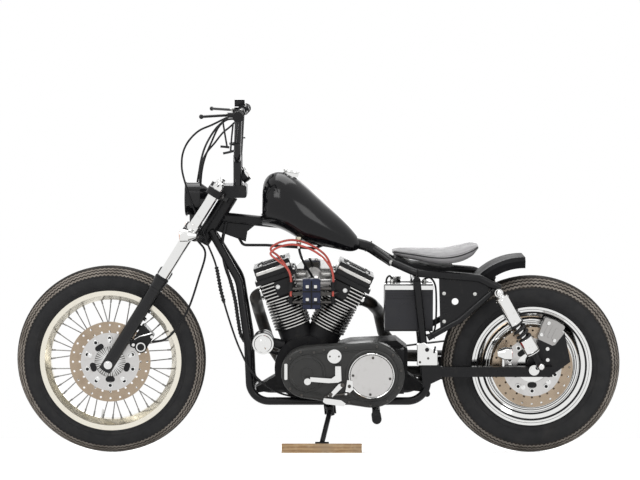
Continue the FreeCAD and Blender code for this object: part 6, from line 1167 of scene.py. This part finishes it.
# Grey base colour on black leather: painted sheen, with paler patches at random.
leather = Finish("seat_leather", (0.21, 0.205, 0.21), 0.48)
pores = leather.texture("Voronoi", Scale=420.0)
leather.raised(pores.outputs["Distance"], 0.45, 0.0005).grained(38, 0.5, 0.0016, detail=7)
leather.worn(30, 0.38, 0.62).stained(18, (0.29, 0.285, 0.29), 0.8, 0.4, 0.8)
welt_leather = Finish("seat_welt_leather", (0.012, 0.012, 0.013), 0.5, specular=0.25)
welt_leather.worn(40, 0.42, 0.6).grained(900, 0.3, 0.0003)
thread = Finish("waxed_thread", (0.12, 0.118, 0.112), 0.75)
thread.grained(1500, 0.5, 0.0002)
seat_cover = shell(seat_at(np.arange(72) * 2 * np.pi / 72))
seat = make("padded_leather_seat", "frame", (leather, [seat_cover]), soft=70)
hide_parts("seat_pad")
welt_angle = np.radians(78.0)
welts = [tube(seat_at(np.array([w * welt_angle]), 0.6)[3:-1, 0], 2.4, 8, UP) for w in SIDES]


def stitches(line, long, gap, thick):
    """Short rounded threads laid along a line: the line is read at even steps of its length, long + gap apart."""
    run = run_of(line)
    starts = np.arange(gap, run[-1] - long, long + gap)
    ends = [read_at(line, run, lengths) for lengths in (starts, starts + long)]
    shape = np.array(((0, 0), (0.8, 0.06), (1, 0.3), (1, 0.7), (0.8, 0.94), (0, 1)))
    return [turned(shape * (thick, np.linalg.norm(b - a)), a, b - a, 6) for a, b in zip(*ends)]


stitch_angle = np.radians(64.0)
seams = [thread_at for w in SIDES
         for thread_at in stitches(seat_at(np.array([w * stitch_angle]), 0.4)[3:-2, 0], 5.0, 2.2, 0.8)]
seat_seams = make("seat_welt_and_stitches", "frame", (welt_leather, welts), (thread, seams))
dress("seat_pan", soft_rubber)
hinge_nuts = [hex_head((258, w * 62.6, 706), (0, w, 0), 7.5, 5) for w in SIDES]
seat_trim = make("seat_hinge_nuts", "frame", (zinc, hinge_nuts))


# ---- Rear fender, shock absorbers and springs
# A short ducktail of rolled steel, enamelled; two oil dampers whose plated
# shrouds leave an open black coil spring to be seen between them.
fender_black = Finish("fender_black_enamel", (0.006, 0.006, 0.007), 0.5, specular=0.1)
fender_black.worn(10, 0.42, 0.6).grained(600, 0.1, 0.0002).stained(30, (0.02, 0.019, 0.018), 0.6, 0.5, 0.85)
dress("rear_fender", fender_black)
CALIPER_TURN, CALIPER_FACE = 65.0, -97
SHOCK_TOP, SHOCK_LOW = np.array((634.0, 0.0, 608.0)), np.array((787.0, 0.0, 345.0))
SHOCK_ASIDE, EYE_BOLT_ASIDE = 147.5, 171.0


def on_shock(share, side):
    """A point of a damper's centre line, by its share from the top eye to the lower one."""
    return SHOCK_TOP + share * (SHOCK_LOW - SHOCK_TOP) + np.array((0.0, side * SHOCK_ASIDE, 0.0))


def below_shroud(m, n):
    """Picks the lower mount: its share from the top eye to the lower one is over 0.8."""
    return (m * (1, 0, 1) - SHOCK_TOP) @ (SHOCK_LOW - SHOCK_TOP) / ((SHOCK_LOW - SHOCK_TOP) ** 2).sum() > 0.8


def coiled(foot, top, radius, turns, wire):
    """A helix from foot to top: foot + rise (top - foot) + radius (cos t side + sin t other), t from 0 to 2 pi turns.
    Over a fifth of the turns at each end the rise slows, so that the coils close up to lie against one another."""
    axis, side, other = crosswise(np.subtract(top, foot))
    share = np.linspace(0, 1, int(turns * 24) + 1)
    t = 2 * np.pi * turns * share
    slow = np.minimum(np.minimum(share, 1 - share) / 0.2, 1.0)
    rise = np.concatenate(((0.0,), np.cumsum(0.45 + 0.55 * slow[1:])))
    rise = rise / rise[-1]
    path = (np.asarray(foot, float) + rise[:, None] * np.subtract(top, foot)
            + radius * (np.cos(t)[:, None] * side + np.sin(t)[:, None] * other))
    return tube(path, wire, 10, axis)


dress("rear_shocks", bright, case_black, pick=below_shroud)
spring_black = Finish("powder_coated_spring", (0.010, 0.010, 0.011), 0.4, specular=0.3)
spring_black.worn(30, 0.3, 0.5).grained(700, 0.2, 0.0002)
springs = [coiled(on_shock(0.40, w), on_shock(0.64, w), 21.0, 4.2, 5.6) for w in SIDES]
lower_shrouds = [turned([(0, 0), (24.5, 0), (26.2, 2), (26.2, 52), (24.5, 54), (0, 54)], on_shock(0.625, w),
                        SHOCK_LOW - SHOCK_TOP, 44) for w in SIDES]
coil_springs = make("shock_coil_springs", "frame", (spring_black, springs), (bright, lower_shrouds))
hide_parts("shock_springs")
shock_way = unit(SHOCK_LOW - SHOCK_TOP)
shroud_rings = [ring_of([(23.9, -2), (25.6, -1.4), (25.6, 1.4), (23.9, 2)], on_shock(share, w), shock_way, 40)
                for w in SIDES for share in (0.09, 0.405, 0.82)]
eye_bolts = [turned([(0, 0), (11, 0), (11.4, 2), (9, 5.5), (4, 7), (0, 7.2)],
                    at + (0, w * EYE_BOLT_ASIDE, 0), (0, w, 0), 32, hexed=(1, 2))
             for w in SIDES for at in (SHOCK_TOP, SHOCK_LOW)]
shock_trim = make("shock_rings_and_bolts", "frame", (bright, shroud_rings + eye_bolts))


def caliper_block(m, n):
    """0 the black bracket round the axle, 1 the alloy block, over 108 mm from the axle towards the caliper."""
    turn = math.radians(CALIPER_TURN)
    out = (m[:, 0] - REAR[0]) * math.cos(turn) + (m[:, 2] - REAR[2]) * math.sin(turn)
    side = (m[:, 2] - REAR[2]) * math.cos(turn) - (m[:, 0] - REAR[0]) * math.sin(turn)
    return (out > 108) & (np.abs(side) < 43)


dress("rear_caliper", case_black, cast, pick=caliper_block)
dress("rear_axle", zinc)
rear_end = limits("rear_axle")
rear_nuts = [hex_head((REAR[0], rear_end[0][1] + 1, REAR[2]), LEFT, 15, 9),
             hex_head((REAR[0], rear_end[1][1] - 1, REAR[2]), RIGHT, 15, 9),
             hex_head((420, -123.4, 317), LEFT, 9, 6), hex_head((420, 123.4, 317), RIGHT, 9, 6)]
CALIPER_OUT = np.array((math.cos(math.radians(CALIPER_TURN)), 0, math.sin(math.radians(CALIPER_TURN))))
CALIPER_SIDE = np.array((-CALIPER_OUT[2], 0, CALIPER_OUT[0]))
rear_nuts += [cap_head(REAR + out * CALIPER_OUT + side * CALIPER_SIDE + (0, CALIPER_FACE, 0), LEFT, 7, 6)
              for out, side in ((124, -26), (124, 26), (172, 20))]
caliper_ribs = [plate_of(oblong(22, 4, 3), 0, 2.6,
                         REAR + 146 * CALIPER_OUT + side * CALIPER_SIDE + (0, CALIPER_FACE, 0),
                         CALIPER_OUT, np.cross(LEFT, CALIPER_OUT)) for side in (-16, 0, 16)]
rear_nuts += [turned([(0, 0), (8, 0), (8, 4), (6.5, 6), (0, 6)], (x, CALIPER_FACE, z), LEFT, 28)
              for x, z in ((816, 398), (817, 358))]
rear_end_trim = make("rear_axle_and_pivot_nuts", "frame", (bright, rear_nuts), (cast, caliper_ribs))


# ---- Foot pegs, controls and side stand
# Forward of the rider's heel: steel pegs with ribbed rubber sleeves, plated
# linkage, and a bent steel prop that swings up under the left rail.
dress("foot_pegs", soft_rubber, bright, pick=lambda m, n: np.abs(m[:, 1]) < 199)
dress("foot_controls", bright)
dress("side_stand", case_black)
PEG = (199, 179)
peg_ribs = [ring_of([(15.8, -1.6), (17.0, -1), (17.0, 1), (15.8, 1.6)], (PEG[0], w * y, PEG[1]), RIGHT, 32)
            for w in SIDES for y in np.arange(208, 290, 7.5)]
pegs = make("foot_peg_ribs", "frame", (soft_rubber, peg_ribs))
